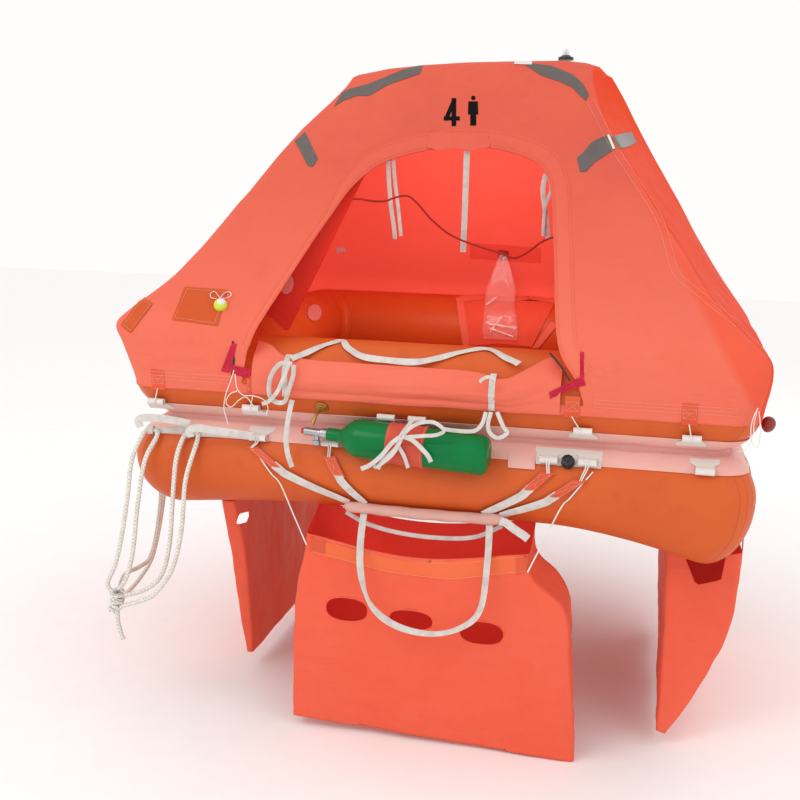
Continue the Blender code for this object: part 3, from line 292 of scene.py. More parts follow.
def lathe(name, centre, axis, profile, material, sides=32, **words):
    """A turned piece: profile rows are the distance along the axis and the radius there."""
    axis = Vector(axis).normalized()
    side, across = square_to(axis)
    points, uvs, run = [], [], 0.0
    for k, (along, radius) in enumerate(profile):
        if k:
            run += math.hypot(along - profile[k - 1][0], radius - profile[k - 1][1])
        for j in range(sides):
            a = math.tau * j / sides
            points.append(Vector(centre) + axis * along + around(side, across, a) * radius)
            uvs.append((0.02 * j / sides * math.tau, run))
    faces = [face[::-1] for face in tube_faces(len(profile), sides)]
    return add_piece(name, points, faces, material, uvs=uvs, sharp=38, **words)


def strap(name, path, facing, width, material, thickness=0.0016, steps=1, widths=None, **words):
    """Flat webbing with rounded edges along a path. facing is one direction, or one for each point."""
    path = smooth_route(path, steps) if steps > 1 else [Vector(p) for p in path]
    count = len(path)
    if isinstance(facing[0], (int, float)):
        facing = [facing] * count
    elif len(facing) != count:
        facing = smooth_route(facing, steps)
    section = ((-0.5, -0.5), (-0.5, 0.5), (-0.46, 1.0), (-0.16, 1.06), (0.16, 1.06), (0.46, 1.0),
               (0.5, 0.5), (0.5, -0.5), (0.46, -1.0), (0.16, -1.06), (-0.16, -1.06), (-0.46, -1.0))
    points, uvs, along = [], [], 0.0
    for k, place in enumerate(path):
        ahead = (path[min(k + 1, count - 1)] - path[max(k - 1, 0)]).normalized()
        normal = Vector(facing[k])
        normal = (normal - ahead * normal.dot(ahead)).normalized()
        across = ahead.cross(normal)
        wide = width * (widths(k / max(count - 1, 1)) if widths else 1.0)
        if k:
            along += (place - path[k - 1]).length
        for u, v in section:
            points.append(place + across * (u * wide) + normal * (v * thickness / 2))
            uvs.append((u * wide, along))
    return add_piece(name, points, tube_faces(count, len(section)), material, uvs=uvs, sharp=40, **words)


# Materials.

def linear(rgb):
    """A colour as shown on screen, 0 to 255, as linear light."""
    return [((c / 255 + 0.055) / 1.055) ** 2.4 if c > 10 else c / 255 / 12.92 for c in rgb]


WAVES_PER_SCALE = 3.1831
WEAVE_PITCH, WEAVE_HEIGHT = 0.0011, 0.000042


class Look:
    """A material with its nodes, built round one Principled shader."""

    def __init__(self, name, rgb, roughness=0.5, metallic=0.0):
        self.made = bpy.data.materials.new(name)
        self.made.use_nodes = True
        self.tree = self.made.node_tree
        self.shader = self.tree.nodes["Principled BSDF"]
        self.base = linear(rgb)
        self.colour = None
        self.set("Base Color", (*self.base, 1.0))
        self.set("Roughness", roughness)
        self.set("Metallic", metallic)
        self.height = None

    def set(self, socket, value):
        self.shader.inputs[socket].default_value = value
        return self

    def node(self, kind, **values):
        made = self.tree.nodes.new(kind)
        for key, value in values.items():
            if key in made.inputs:
                made.inputs[key].default_value = value
            else:
                setattr(made, key, value)
        return made

    def link(self, source, target):
        self.tree.links.new(source, target)

    def place(self, uv=False):
        coordinates = self.node("ShaderNodeTexCoord")
        return coordinates.outputs["UV" if uv else "Object"]

    def math(self, operation, first, second=0.0):
        made = self.node("ShaderNodeMath", operation=operation)
        for socket, value in zip(made.inputs, (first, second)):
            if isinstance(value, (int, float)):
                socket.default_value = value
            else:
                self.link(value, socket)
        return made.outputs[0]

    def noise(self, scale, detail=3.0, uv=False, stretch=None):
        place = self.place(uv)
        if stretch:
            mapping = self.node("ShaderNodeMapping")
            mapping.inputs["Scale"].default_value = stretch
            self.link(place, mapping.inputs["Vector"])
            place = mapping.outputs[0]
        made = self.node("ShaderNodeTexNoise", Scale=scale, Detail=detail)
        self.link(place, made.inputs["Vector"])
        return made.outputs["Fac"]

    def waves(self, pitch, direction):
        """Waves with this many metres from crest to crest, along (Y) or across (X) the cloth."""
        made = self.node("ShaderNodeTexWave", bands_direction=direction)
        made.inputs["Scale"].default_value = 1.0 / pitch / WAVES_PER_SCALE
        made.inputs["Distortion"].default_value = 0.0
        self.link(self.place(uv=True), made.inputs["Vector"])
        return made.outputs["Fac"]

    def ranged(self, value, low, high, to_low=0.0, to_high=1.0):
        """A value moved from the range low to high into another one, and held inside it."""
        made = self.node("ShaderNodeMapRange", clamp=True)
        self.link(value, made.inputs["Value"])
        for key, limit in (("From Min", low), ("From Max", high), ("To Min", to_low), ("To Max", to_high)):
            made.inputs[key].default_value = limit
        return made.outputs[0]

    def band(self, value, low, high, soft=0.0005):
        """1 where a value lies between two numbers, with soft edges."""
        up = self.ranged(value, low - soft, low + soft)
        down = self.ranged(value, high + soft, high - soft)
        return self.math("MULTIPLY", up, down)

    def mix(self, factor, rgb, amount=1.0):
        """Paints another colour over what is there, where factor is 1."""
        made = self.node("ShaderNodeMix", data_type="RGBA")
        if amount != 1.0:
            factor = self.math("MULTIPLY", factor, amount)
        self.link(factor, made.inputs[0])
        if self.colour is None:
            made.inputs[6].default_value = (*self.base, 1.0)
        else:
            self.link(self.colour, made.inputs[6])
        made.inputs[7].default_value = (*linear(rgb), 1.0)
        self.colour = made.outputs[2]
        self.link(self.colour, self.shader.inputs["Base Color"])
        return self

    def vary(self, scale, rgb, low=0.40, high=0.65, amount=1.0, **words):
        """Cloudy change towards another colour."""
        return self.mix(self.ranged(self.noise(scale, **words), low, high), rgb, amount)

    def rough(self, factor, low, high):
        self.link(self.ranged(factor, 0.0, 1.0, low, high), self.shader.inputs["Roughness"])
        return self

    def raise_by(self, factor, metres):
        """Adds to the height that the bump is made from."""
        scaled = self.math("MULTIPLY", factor, metres)
        self.height = scaled if self.height is None else self.math("ADD", self.height, scaled)
        return self

    def done(self):
        if self.height is not None:
            bump = self.node("ShaderNodeBump", Strength=1.0, Distance=1.0)
            self.link(self.height, bump.inputs["Height"])
            self.link(bump.outputs[0], self.shader.inputs["Normal"])
        return self.made


def coated_fabric(name, rgb, shade, roughness=0.5, painted_glow=0.0, painted_top_shade=None, right_hip_shade=None, folds=0.0):
    """Coated cloth. The colour given for the top of the canopy is a painted shade, mixed in towards the top,
    and the colour given for the hips is a painted shade of the right side panel, carried round the right hips as
    far as their stitches.
    The glow is painted light: the cloth emits its own colour at that strength."""
    look = Look(name, rgb, roughness)
    # Painted shade: the cloth is darker towards the top of the canopy.
    if painted_top_shade:
        parts = look.node("ShaderNodeSeparateXYZ")
        look.link(look.place(), parts.inputs[0])
        look.mix(look.ranged(parts.outputs[2], 0.35, 0.85), painted_top_shade)
    look.vary(3.0, shade, 0.42, 0.72, 0.55)
    look.vary(26.0, shade, 0.50, 0.75, 0.25, detail=5.0)
    # Painted shade: the right side panel's darker colour, carried round the right hips as far as their stitches.
    if right_hip_shade:
        reach = look.math("ADD", parts.outputs[0], look.math("MULTIPLY", parts.outputs[2], 0.6))
        hip_shade_mask = look.math("MULTIPLY", look.band(reach, 0.995, 9.0, 0.012),
                            look.band(parts.outputs[2], -1.0, 1.09, 0.03))
        look.mix(hip_shade_mask, right_hip_shade, 0.85)
    look.raise_by(look.math("ADD", look.waves(WEAVE_PITCH, "X"), look.waves(WEAVE_PITCH, "Y")), WEAVE_HEIGHT)
    look.raise_by(look.noise(70.0, 4.0), 0.0006)
    if folds:
        look.raise_by(look.noise(5.0, 2.0, stretch=(1.3, 1.3, 0.55)), folds)
        look.raise_by(look.noise(17.0, 2.0, stretch=(0.6, 1.0, 1.5)), folds * 0.25)
    look.rough(look.noise(9.0, 3.0), roughness - 0.07, roughness + 0.10)
    look.set("Specular IOR Level", 0.10)
    # Painted light: the cloth emits its own colour, which brightens it beyond what the lamps give.
    if painted_glow:
        look.set("Emission Color", (*linear(rgb), 1.0))
        look.set("Emission Strength", painted_glow)
    return look.done()


def webbing(name, rgb, shade, pitch=0.0016):
    look = Look(name, rgb, 0.78)
    look.vary(40.0, shade, 0.42, 0.70, 0.7)
    rows, ribs = look.waves(pitch, "Y"), look.waves(pitch * 1.9, "X")
    look.mix(look.math("MULTIPLY", rows, ribs), shade, 0.35)
    look.raise_by(rows, 0.00022)
    look.raise_by(ribs, 0.00012)
    look.set("Specular IOR Level", 0.2)
    return look.done()


# The number after a coated cloth's roughness is its painted glow: an emission that paints light on it.
canopy_look = coated_fabric("canopy_fabric", (228, 110, 88), (222, 100, 75), 0.6, 0.05, painted_top_shade=(208, 88, 71),
                            right_hip_shade=(226, 86, 60), folds=0.030)
# Painted shade: a darker, more saturated copy of the canopy cloth for the right side panel, which lies in shade.
right_side_shade_look = coated_fabric("painted_shade_side_fabric", (224, 72, 40), (220, 64, 32), 0.7, 0.05, folds=0.030)
# Painted shade and light: the canopy's inner face is a darker copy of its cloth with a strong glow.
lining_shade_glow_look = coated_fabric("canopy_lining_painted_shade_glow", (224, 88, 72), (220, 76, 58), 0.6, 0.38)
inner_look = coated_fabric("inner_fabric", (206, 60, 46), (196, 50, 38), 0.55, 0.10)
bag_look = coated_fabric("bag_fabric", (228, 97, 73), (222, 86, 58), 0.55, 0.08, folds=0.022)
# Painted shade and light: the bags' inner faces are a darker copy of their cloth with a glow.
bag_inside_shade_glow_look = coated_fabric("bag_inside_painted_shade_glow", (212, 58, 46), (198, 50, 38), 0.6, 0.25)
curtain_look = coated_fabric("curtain_fabric", (230, 114, 92), (225, 102, 78), 0.55, 0.04, folds=0.015)
floor_look = coated_fabric("floor_fabric", (208, 62, 38), (180, 50, 30), 0.5)
band_look = coated_fabric("band_fabric", (235, 186, 176), (226, 160, 148), 0.42)
# Painted shade: a darker copy of the seam band's cloth for the joint strip down in the valley between the tubes.
valley_shade_look = coated_fabric("valley_painted_shade_fabric", (228, 172, 164), (214, 150, 142), 0.5)
white_look = coated_fabric("patch_fabric", (228, 223, 217), (212, 205, 197), 0.5)
red_patch_look = coated_fabric("red_patch_fabric", (222, 96, 66), (204, 80, 52), 0.55)
crimson_look = coated_fabric("crimson_fabric", (200, 42, 68), (176, 28, 54), 0.6)
label_look = coated_fabric("label_fabric", (204, 86, 42), (192, 74, 32), 0.42)
web_look = webbing("white_webbing", (218, 213, 207), (190, 184, 177))
tan_web_look = webbing("tan_webbing", (214, 150, 120), (190, 124, 96))
stitch_look = webbing("thread", (250, 190, 172), (240, 160, 140), 0.0030)


def tube_fabric():
    look = Look("tube_fabric", (210, 93, 38), 0.42)
    look.vary(2.2, (200, 82, 32), 0.42, 0.70, 0.7)
    look.vary(18.0, (188, 73, 28), 0.55, 0.80, 0.35, detail=6.0)
    parts = look.node("ShaderNodeSeparateXYZ")
    look.link(look.place(), parts.inputs[0])
    across = look.math("SUBTRACT", look.math("ABSOLUTE", parts.outputs[0]),
                       look.math("ABSOLUTE", parts.outputs[1]))
    mitre = look.math("ABSOLUTE", look.math("SUBTRACT", across, HALF_X - HALF_Y))
    tape = look.band(mitre, -1.0, 0.034, 0.0006)
    edge = look.band(mitre, 0.0332, 0.0350, 0.0004)
    seam = look.band(mitre, -1.0, 0.0008, 0.0004)
    look.mix(tape, (214, 92, 36), 0.6)
    look.mix(edge, (150, 56, 22), 0.8)
    look.mix(seam, (140, 50, 20), 0.8)
    look.raise_by(tape, 0.0006)
    look.raise_by(look.math("ADD", look.waves(0.0012, "X"), look.waves(0.0012, "Y")), 0.00003)
    look.raise_by(look.noise(34.0, 4.0), 0.0007)
    look.rough(look.noise(6.0, 3.0), 0.34, 0.52)
    look.set("Specular IOR Level", 0.25)
    return look.done()


tube_look = tube_fabric()


def plain(name, rgb, roughness, metallic=0.0, shade=None, grain=120.0, height=0.00015, **sockets):
    """A hard material. sockets are further inputs of its shader, with _ for each space in their names."""
    look = Look(name, rgb, roughness, metallic)
    look.vary(14.0, shade or [c * 0.88 for c in rgb], 0.40, 0.70, 0.6)
    look.rough(look.noise(grain * 0.2, 3.0), max(roughness - 0.08, 0.02), roughness + 0.08)
    look.raise_by(look.noise(grain, 2.0), height)
    for socket, value in sockets.items():
        look.set(socket.replace("_", " "), value)
    return look.done()


cylinder_look = plain("cylinder_paint", (0, 118, 58), 0.20, shade=(0, 104, 50), grain=60.0, height=0.0002,
                      Coat_Weight=0.05, Specular_IOR_Level=0.16)
steel_look = plain("valve_steel", (178, 178, 182), 0.28, 1.0)
brass_look = plain("brass", (186, 142, 74), 0.34, 1.0)
black_look = plain("black_moulding", (30, 30, 33), 0.40)
red_cap_look = plain("red_cap", (196, 44, 34), 0.40)
dark_red_look = plain("quoit_rubber", (142, 32, 36), 0.42)
ball_look = plain("signal_ball", (206, 226, 64), 0.40)
ink_look = plain("black_ink", (10, 5, 6), 0.70, Specular_IOR_Level=0.1)
cord_look = webbing("cord", (236, 234, 228), (206, 203, 196), 0.0022)
red_cord_look = webbing("red_cord", (176, 44, 36), (150, 34, 28), 0.0022)


def rope_material():
    look = Look("braided_rope", (236, 233, 225), 0.75)
    look.vary(60.0, (212, 208, 198), 0.40, 0.70, 0.7)
    parts = look.node("ShaderNodeSeparateXYZ")
    look.link(look.place(uv=True), parts.inputs[0])
    turn = look.math("MULTIPLY", parts.outputs[0], 3.0 / ROPE_R)
    run = look.math("MULTIPLY", parts.outputs[1], math.tau / 0.011)
    one = look.math("SINE", look.math("ADD", turn, run))
    two = look.math("SINE", look.math("SUBTRACT", turn, run))
    crest = look.math("MAXIMUM", one, two)
    # Painted shade: the braid is darker in the grooves between its strands.
    look.mix(look.band(crest, -2.0, 0.35, 0.25), (186, 180, 168), 0.55)
    look.raise_by(crest, 0.0007)
    return look.done()


rope_look = rope_material()


def tape_material():
    look = Look("reflective_tape", (88, 79, 75), 0.45)
    look.vary(30.0, (74, 67, 65), 0.40, 0.70, 0.7)
    grid = look.math("MAXIMUM", look.waves(0.0052, "X"), look.waves(0.0052, "Y"))
    look.mix(look.band(grid, 0.90, 2.0, 0.05), (128, 120, 116), 0.6)
    look.raise_by(grid, 0.0001)
    look.set("Coat Weight", 0.12)
    look.set("Coat Roughness", 0.2)
    look.set("Specular IOR Level", 0.25)
    return look.done()


tape_look = tape_material()


def clear_material(name, rgb, alpha, roughness):
    look = Look(name, rgb, roughness)
    look.raise_by(look.noise(45.0, 4.0), 0.002)
    look.set("Alpha", alpha)
    look.set("IOR", 1.45)
    look.set("Coat Weight", 1.0)
    look.set("Coat Roughness", 0.05)
    return look.done()


clear_look = clear_material("clear_film", (252, 224, 216), 0.17, 0.12)
dome_look = clear_material("clear_dome", (225, 225, 225), 0.45, 0.06)


# Tubes, bands and floor.

TUBE_SIDES = 60
RING_SIDE_COUNT, RING_CORNER_COUNT = 56, 10


def outline(half_x, half_y, radius):
    """Stations round a rounded rectangle, from the front side's left end, then the right side."""
    points = []
    corners = ((-half_x, -half_y), (half_x, -half_y), (half_x, half_y), (-half_x, half_y))
    for side in range(4):
        start, end = Vector(corners[side]), Vector(corners[(side + 1) % 4])
        ahead = (end - start).normalized()
        left = Vector((-ahead.y, ahead.x))
        first, last = start + ahead * radius, end - ahead * radius
        points += [first.lerp(last, k / RING_SIDE_COUNT) for k in range(RING_SIDE_COUNT + 1)]
        centre = last + left * radius
        for k in range(1, RING_CORNER_COUNT):
            turn = math.pi / 2 * k / RING_CORNER_COUNT
            points.append(centre - left * radius * math.cos(turn) + ahead * radius * math.sin(turn))
    return points


def corner_radius(offset):
    return INNER_CORNER_R + (OUTER_CORNER_R - INNER_CORNER_R) * (offset + TUBE_R) / (2 * TUBE_R)


def ring_line(reach, angle_deg, axis_z):
    """A line round the raft at this reach from a tube's middle, as high as the angle from level puts it."""
    angle = math.radians(angle_deg)
    offset = reach * math.cos(angle)
    stations = outline(HALF_X + offset, HALF_Y + offset, corner_radius(offset))
    return [Vector((p.x, p.y, axis_z + reach * math.sin(angle))) for p in stations]


def corner_sag(place):
    """How far the lower tube hangs down at a place, which is only near its corners."""
    sag = 0.0
    for (sx, sy), depth in CORNER_SAG.items():
        near = max(0.0, 1.0 - math.hypot(place.x - sx * HALF_X, place.y - sy * HALF_Y) / CORNER_SAG_REACH)
        rounded, pointed = near**2 * (3 - 2 * near), near**4
        sag = max(sag, depth * (CORNER_SAG_ROUND * rounded + (1 - CORNER_SAG_ROUND) * pointed))
    return sag


def corner_pucker(place, angle):
    """How far the fabric dips in the small folds beside a mitred corner."""
    dx, dy = HALF_X - abs(place.x), HALF_Y - abs(place.y)
    off = abs(dx - dy) / math.sqrt(2)
    near = math.exp(-((off / 0.11) ** 2)) * (1.0 if min(dx, dy) < TUBE_R + 0.02 else 0.0)
    inward = 0.35 + 0.65 * (0.5 - 0.5 * math.cos(angle))
    wave = math.sin(off / 0.026 * math.pi + 3.0 * math.sin(3 * angle)) * (0.6 + 0.4 * noise.noise(place * 14.0))
    return -0.0022 * near * inward * (0.5 + 0.5 * wave)


def tube(name, axis_z, sags, node):
    columns = []
    for k in range(TUBE_SIDES):
        angle = math.tau * k / TUBE_SIDES
        line = ring_line(TUBE_R, math.degrees(angle), axis_z)
        inner = ring_line(TUBE_R - 0.01, math.degrees(angle), axis_z)
        droop = max(0.0, -math.sin(angle)) * (0.5 + 0.5 * math.cos(angle)) if sags else 0.0
        column = []
        for place, within in zip(line, inner):
            out = (place - within).normalized()
            place = place + out * (corner_pucker(place, angle) + 0.0009 * noise.noise(place * 5.0) - 0.0009)
            column.append(place - Vector((0, 0, corner_sag(place) * droop)))
        columns.append(column)
    grid = np.array([[tuple(place) for place in station] for station in zip(*columns)])
    faces = grid_faces(len(grid), TUBE_SIDES, closed_rows=True, closed_cols=True)
    add_piece(name, grid.reshape(-1, 3), faces, tube_look, uvs=closed_uvs(grid), stands_for=(node,),
              slot="tube_orange")
    return grid


lower_grid = tube("lower_buoyancy_tube", 0.0, True, "lower_tube")
upper_grid = tube("upper_buoyancy_tube", UPPER_Z, False, "upper_tube")


def front_point(x, reach, angle_deg, axis_z):
    """A place beside the front tube: its X, its reach from the tube's middle, and its angle up from level."""
    angle = math.radians(angle_deg)
    return Vector((x, -HALF_Y - reach * math.cos(angle), axis_z + reach * math.sin(angle)))


def side_point(side, along, reach, angle_deg, axis_z):
    """The same for any side of the raft, where along is measured from that side's middle."""
    angle = math.radians(angle_deg)
    out, up = reach * math.cos(angle), axis_z + reach * math.sin(angle)
    return {
        "front": Vector((along, -HALF_Y - out, up)), "back": Vector((along, HALF_Y + out, up)),
        "right": Vector((HALF_X + out, along, up)), "left": Vector((-HALF_X - out, along, up)),
    }[side]


def lacing_band(name, node, axis_z, low_angle, high_angle, wave_side):
    """A seam band round the raft with an uneven outer edge."""
    rows = 9
    front, back = [], []
    for k in range(rows):
        part = k / (rows - 1)
        line_at = low_angle + (high_angle - low_angle) * part
        line = ring_line(TUBE_R + 0.0017, line_at, axis_z)
        under = ring_line(TUBE_R + 0.0004, line_at, axis_z)
        loose = part if wave_side == "high" else 1.0 - part
        back.append(under)
        front.append([])
        for place, low in zip(line, under):
            out = (place - low).normalized()
            ripple = 0.0012 + 0.0012 * noise.noise(place * 17.0)
            front[-1].append(place + out * max(0.0, ripple) * (1.0 - loose * 0.6))
    points = np.array([[tuple(place) for place in station] for station in zip(*front, *reversed(back))])
    faces = grid_faces(len(points), 2 * rows, closed_rows=True, closed_cols=True)
    add_piece(name, points.reshape(-1, 3), faces, band_look, uvs=closed_uvs(points), stands_for=(node,),
              slot="band_pink", sharp=60)


lacing_band("upper_seam_band", "lacing_band_upper", UPPER_Z, -64, -41, "high")
lacing_band("lower_seam_band", "lacing_band_lower", 0.0, 37, 64, "low")


def floor():
    half_x, half_y, top, count = HALF_X - 0.064, HALF_Y - 0.064, -0.088, 70

    def place(r, c):
        x, y = -half_x + 2 * half_x * c / (count - 1), -half_y + 2 * half_y * r / (count - 1)
        rim = min(half_x - abs(x), half_y - abs(y))
        sag = 0.0015 * (0.5 + 0.5 * noise.noise(Vector((x * 5, y * 5, 0)))) * min(1.0, rim / 0.08)
        return x, y, top - sag

    solid_sheet("raft_floor", grid_of(count, count, place), 0.003, floor_look, stands_for=("floor_sheet",),
                slot="bag_red")


floor()

# Canopy.

CANOPY_ROWS = (
    # z, hip_left, hip_right, arch_left, arch_right, front_y, back_y, corner_r
    (0.208, -0.8742, 0.8742, -0.8742, 0.8742, -0.8492, 0.8492, 0.0925),
    (UPPER_Z, -0.8786, 0.8786, -0.8786, 0.8786, -0.8536, 0.8536, 0.0936),
    (0.330, -0.892, 0.884, -0.905, 0.898, -0.866, 0.866, 0.060),
    (0.385, -0.899, 0.870, -0.905, 0.885, -0.866, 0.864, 0.032),
    (0.430, -0.862, 0.822, -0.885, 0.860, -0.838, 0.833, 0.030),
    (0.540, -0.758, 0.715, -0.825, 0.775, -0.728, 0.715, 0.035),
    (0.730, -0.652, 0.578, -0.708, 0.660, -0.530, 0.505, 0.035),
    (0.950, -0.549, 0.430, -0.594, 0.520, -0.300, 0.225, 0.030),
    (1.075, -0.464, 0.362, -0.488, 0.448, -0.175, 0.035, 0.024),
    (1.135, -0.418, 0.352, -0.438, 0.410, -0.122, -0.022, 0.016),
)
RIDGE_LIFT = (
    # x, lift
    (-0.436, -0.019), (-0.403, -0.007), (-0.300, 0.013), (-0.193, 0.024), (-0.050, 0.032), (0.098, 0.036),
    (0.261, 0.038), (0.330, 0.030), (0.367, 0.019), (0.395, 0.000),
)
RIDGE_LIFT_FROM_Z, RIDGE_LIFT_FULL_Z = 0.80, 1.10
ENTRANCE_EDGE = (
    # x, z
    (-0.500, 0.330), (-0.440, 0.475), (-0.365, 0.670), (-0.300, 0.800), (-0.200, 0.870), (0.000, 0.908),
    (0.180, 0.880), (0.262, 0.815), (0.300, 0.650), (0.345, 0.400), (0.400, 0.300),
)
SKIRT_TOP_Z = 0.236
DOORWAY_BEFORE_Y = -0.13
LEVEL_STEP = 0.009
FRONT_COUNT, SIDE_COUNT, HIP_COUNT = 200, 56, 8


def arc_points(before, corner, after, radius, steps):
    """Places round a corner that is rounded to a radius."""
    into, out = (before - corner).normalized(), (after - corner).normalized()
    angle = into.angle(out)
    reach = radius / math.tan(angle / 2)
    centre = corner + (into + out).normalized() * (radius / math.sin(angle / 2))
    start, end = corner + into * reach - centre, corner + out * reach - centre
    turn = start.angle(end)
    return [centre + (start * math.sin((1 - k / steps) * turn) + end * math.sin(k / steps * turn)) / math.sin(turn)
            for k in range(steps + 1)]


def lifted(points):
    """Points on the canopy or its arch, raised to follow the arched ridge."""
    points = np.asarray([tuple(p) for p in points], float)
    part = np.clip((points[:, 2] - RIDGE_LIFT_FROM_Z) / (RIDGE_LIFT_FULL_Z - RIDGE_LIFT_FROM_Z), 0, 1)
    lift = np.interp(points[:, 0], [x for x, _ in RIDGE_LIFT], [rise for _, rise in RIDGE_LIFT])
    points[:, 2] += lift * part * part * (3 - 2 * part)
    return points


def canopy_ring(row):
    """One level of the canopy: the front first, then the right side, the back and the left side."""
    z, hip_left, hip_right, arch_left, arch_right, front_y, back_y, radius = row
    arch_y = ARCH_Y * (z - CANOPY_ROWS[0][0]) / (CANOPY_ROWS[-1][0] - CANOPY_ROWS[0][0])
    corners = ((hip_left, front_y), (hip_right, front_y), (hip_right, back_y), (hip_left, back_y))
    hips = [Vector((x, y, z)) for x, y in corners]
    arches = {1: Vector((arch_right, arch_y, z)), 3: Vector((arch_left, arch_y, z))}
    ring = []
    for side in range(4):
        start, end = hips[side], hips[(side + 1) % 4]
        beyond = arches.get((side + 1) % 4, hips[(side + 2) % 4])
        arc = arc_points(arches.get(side, start), end, beyond, radius, HIP_COUNT)
        previous = arches.get((side - 1) % 4, hips[(side - 1) % 4])
        first = arc_points(previous, start, arches.get(side, end), radius, HIP_COUNT)[-1]
        if side in arches:
            half = SIDE_COUNT // 2
            middle = arches[side]
            ring += [first.lerp(middle, k / half) for k in range(1, half)]
            ring += [middle.lerp(arc[0], k / half) for k in range(half)]
        else:
            count = FRONT_COUNT if side == 0 else SIDE_COUNT
            ring += [first.lerp(arc[0], k / count) for k in range(1, count)]
        ring += arc
    return ring


def between_rows(rows, steps):
    """A table's rows on a smooth curve, with this many steps from each row to the next, or one number for all."""
    data = np.array(rows, float)
    if isinstance(steps, int):
        steps = [steps] * (len(rows) - 1)
    padded = [data[0], *data, data[-1]]
    made = []
    for count, *nearby in zip(steps, padded, padded[1:], padded[2:], padded[3:]):
        made += [spline(*nearby, step / count) for step in range(count)]
    return made + [data[-1]]


def canopy_skin():
    """The canopy's surface as a grid of points from its ridge down, its levels about LEVEL_STEP apart."""
    steps = [max(2, round((high[0] - low[0]) / LEVEL_STEP)) for low, high in zip(CANOPY_ROWS, CANOPY_ROWS[1:])]
    grid = np.array([[tuple(p) for p in canopy_ring(row)] for row in between_rows(CANOPY_ROWS, steps)])
    top = grid[-1]
    for part in (0.35, 0.7, 1.0):
        low, high = top.copy(), top.copy()
        middle = (top[:, 0].min() + top[:, 0].max()) / 2
        high[:, 1] = ARCH_Y
        high[:, 0] = middle + np.clip((top[:, 0] - middle) * 0.99, (top[:, 0].min() - middle) * 0.96,
                                      (top[:, 0].max() - middle) * 0.90)
        high[:, 2] = RIDGE_Z - 0.0015
        mixed = low + (high - low) * part
        mixed[:, 2] = low[:, 2] + (high[:, 2] - low[:, 2]) * math.sin(part * math.pi / 2)
        grid = np.concatenate([grid, mixed[None]])
    grid = lifted(grid.reshape(-1, 3)).reshape(grid.shape)
    return grid[::-1]


def canopy_folds(grid):
    """Small folds and slack of the fabric, outward, as a distance for each point."""
    flat = grid.reshape(-1, 3)
    slack = 0.0050 * bumps(flat * (1.0, 1.0, 0.45), 4.5, 3.0) + 0.0022 * bumps(flat * (1.0, 1.0, 0.6), 12.0, 8.0)
    z = flat[:, 2]
    free = np.clip((z - 0.27) / 0.10, 0.0, 1.0)
    ripple = np.abs(bumps(flat * (1.0, 1.0, 0.12), 14.0, 5.0))
    top = np.clip((1.10 - z) / 0.10, 0.15, 1.0)
    return slack * top * free + (1.0 - free) * 0.0030 * ripple + 0.0012


canopy_grid = canopy_skin()
canopy_grid = displaced(canopy_grid, canopy_folds(canopy_grid), closed_cols=True)
FRONT_COLUMNS = FRONT_COUNT + HIP_COUNT // 2
BESIDE_COLUMNS = SIDE_COUNT + HIP_COUNT
column_beside = np.zeros(canopy_grid.shape[1])
column_beside[FRONT_COLUMNS:FRONT_COLUMNS + BESIDE_COLUMNS] = 1.0
column_beside[-BESIDE_COLUMNS + HIP_COUNT // 2:] = 1.0
# The columns are turned round, so that the grid's faces and normals look outward.
canopy_grid, column_beside = canopy_grid[:, ::-1], column_beside[::-1]


def entrance_line():
    edge = smooth_route([(x, z, 0) for x, z in ENTRANCE_EDGE], 10)
    left = Vector((edge[0].x - 0.02, SKIRT_TOP_Z, 0))
    right = Vector((edge[-1].x + 0.02, SKIRT_TOP_Z, 0))
    return np.array([(p.x, p.y) for p in [left, *edge, right]])


ENTRANCE = entrance_line()


EDGE_HALVINGS = 14


def in_entrance(xz):
    """Which of some places, given by X and Z, lie inside the entrance's outline."""
    inside = np.zeros(len(xz), bool)
    x, z = xz[:, 0], xz[:, 1]
    for (x1, z1), (x2, z2) in zip(ENTRANCE, np.roll(ENTRANCE, -1, 0)):
        crosses = (z1 > z) != (z2 > z)
        with np.errstate(divide="ignore", invalid="ignore"):
            inside ^= crosses & (x < (x2 - x1) * (z - z1) / (z2 - z1) + x1)
    return inside


def cut_away(points, uvs, faces, inside):
    """Takes the part of a mesh that lies inside a shape off it, along the shape's edge.
    inside says of an array of places which of them lie in the shape."""
    points, uvs = np.asarray(points, float), np.asarray(uvs, float)
    flags = inside(points)
    pairs = sorted({(min(a, b), max(a, b))
                    for face in faces for a, b in zip(face, face[1:] + face[:1]) if flags[a] != flags[b]})
    if not pairs:
        return points, uvs, faces
    ends = np.array(pairs)
    swap = flags[ends[:, 0]]
    ends[swap] = ends[swap][:, ::-1]
    kept, lost = np.zeros(len(ends)), np.ones(len(ends))

    def partway(values, part):
        return values[ends[:, 0]] + (values[ends[:, 1]] - values[ends[:, 0]]) * part[:, None]

    for _ in range(EDGE_HALVINGS):
        middle = (kept + lost) / 2
        within = inside(partway(points, middle))
        lost[within], kept[~within] = middle[within], middle[~within]
    crossings, crossing_uvs = partway(points, kept), partway(uvs, kept)
    index = {pair: len(points) + k for k, pair in enumerate(pairs)}
    made = []
    for face in faces:
        lying = [flags[k] for k in face]
        if not any(lying):
            made.append(tuple(face))
        elif not all(lying):
            walk = []
            for a, b in zip(face, face[1:] + face[:1]):
                if not flags[a]:
                    walk.append(a)
                if flags[a] != flags[b]:
                    walk.append(index[min(a, b), max(a, b)])
            made.append(tuple(walk))
    return np.concatenate([points, crossings]), np.concatenate([uvs, crossing_uvs]), made


def only_used(points, uvs, faces):
    """A mesh without the points that no face uses."""
    used = sorted({k for face in faces for k in face})
    index = {k: n for n, k in enumerate(used)}
    return points[used], uvs[used], [tuple(index[k] for k in face) for face in faces]


def add_wall(piece, offset):
    """Gives a sheet its thickness. Its other side takes the material after the one that its faces have."""
    wall = piece.modifiers.new("wall", "SOLIDIFY")
    wall.thickness = FABRIC_THICKNESS
    wall.offset = offset
    wall.material_offset = 1


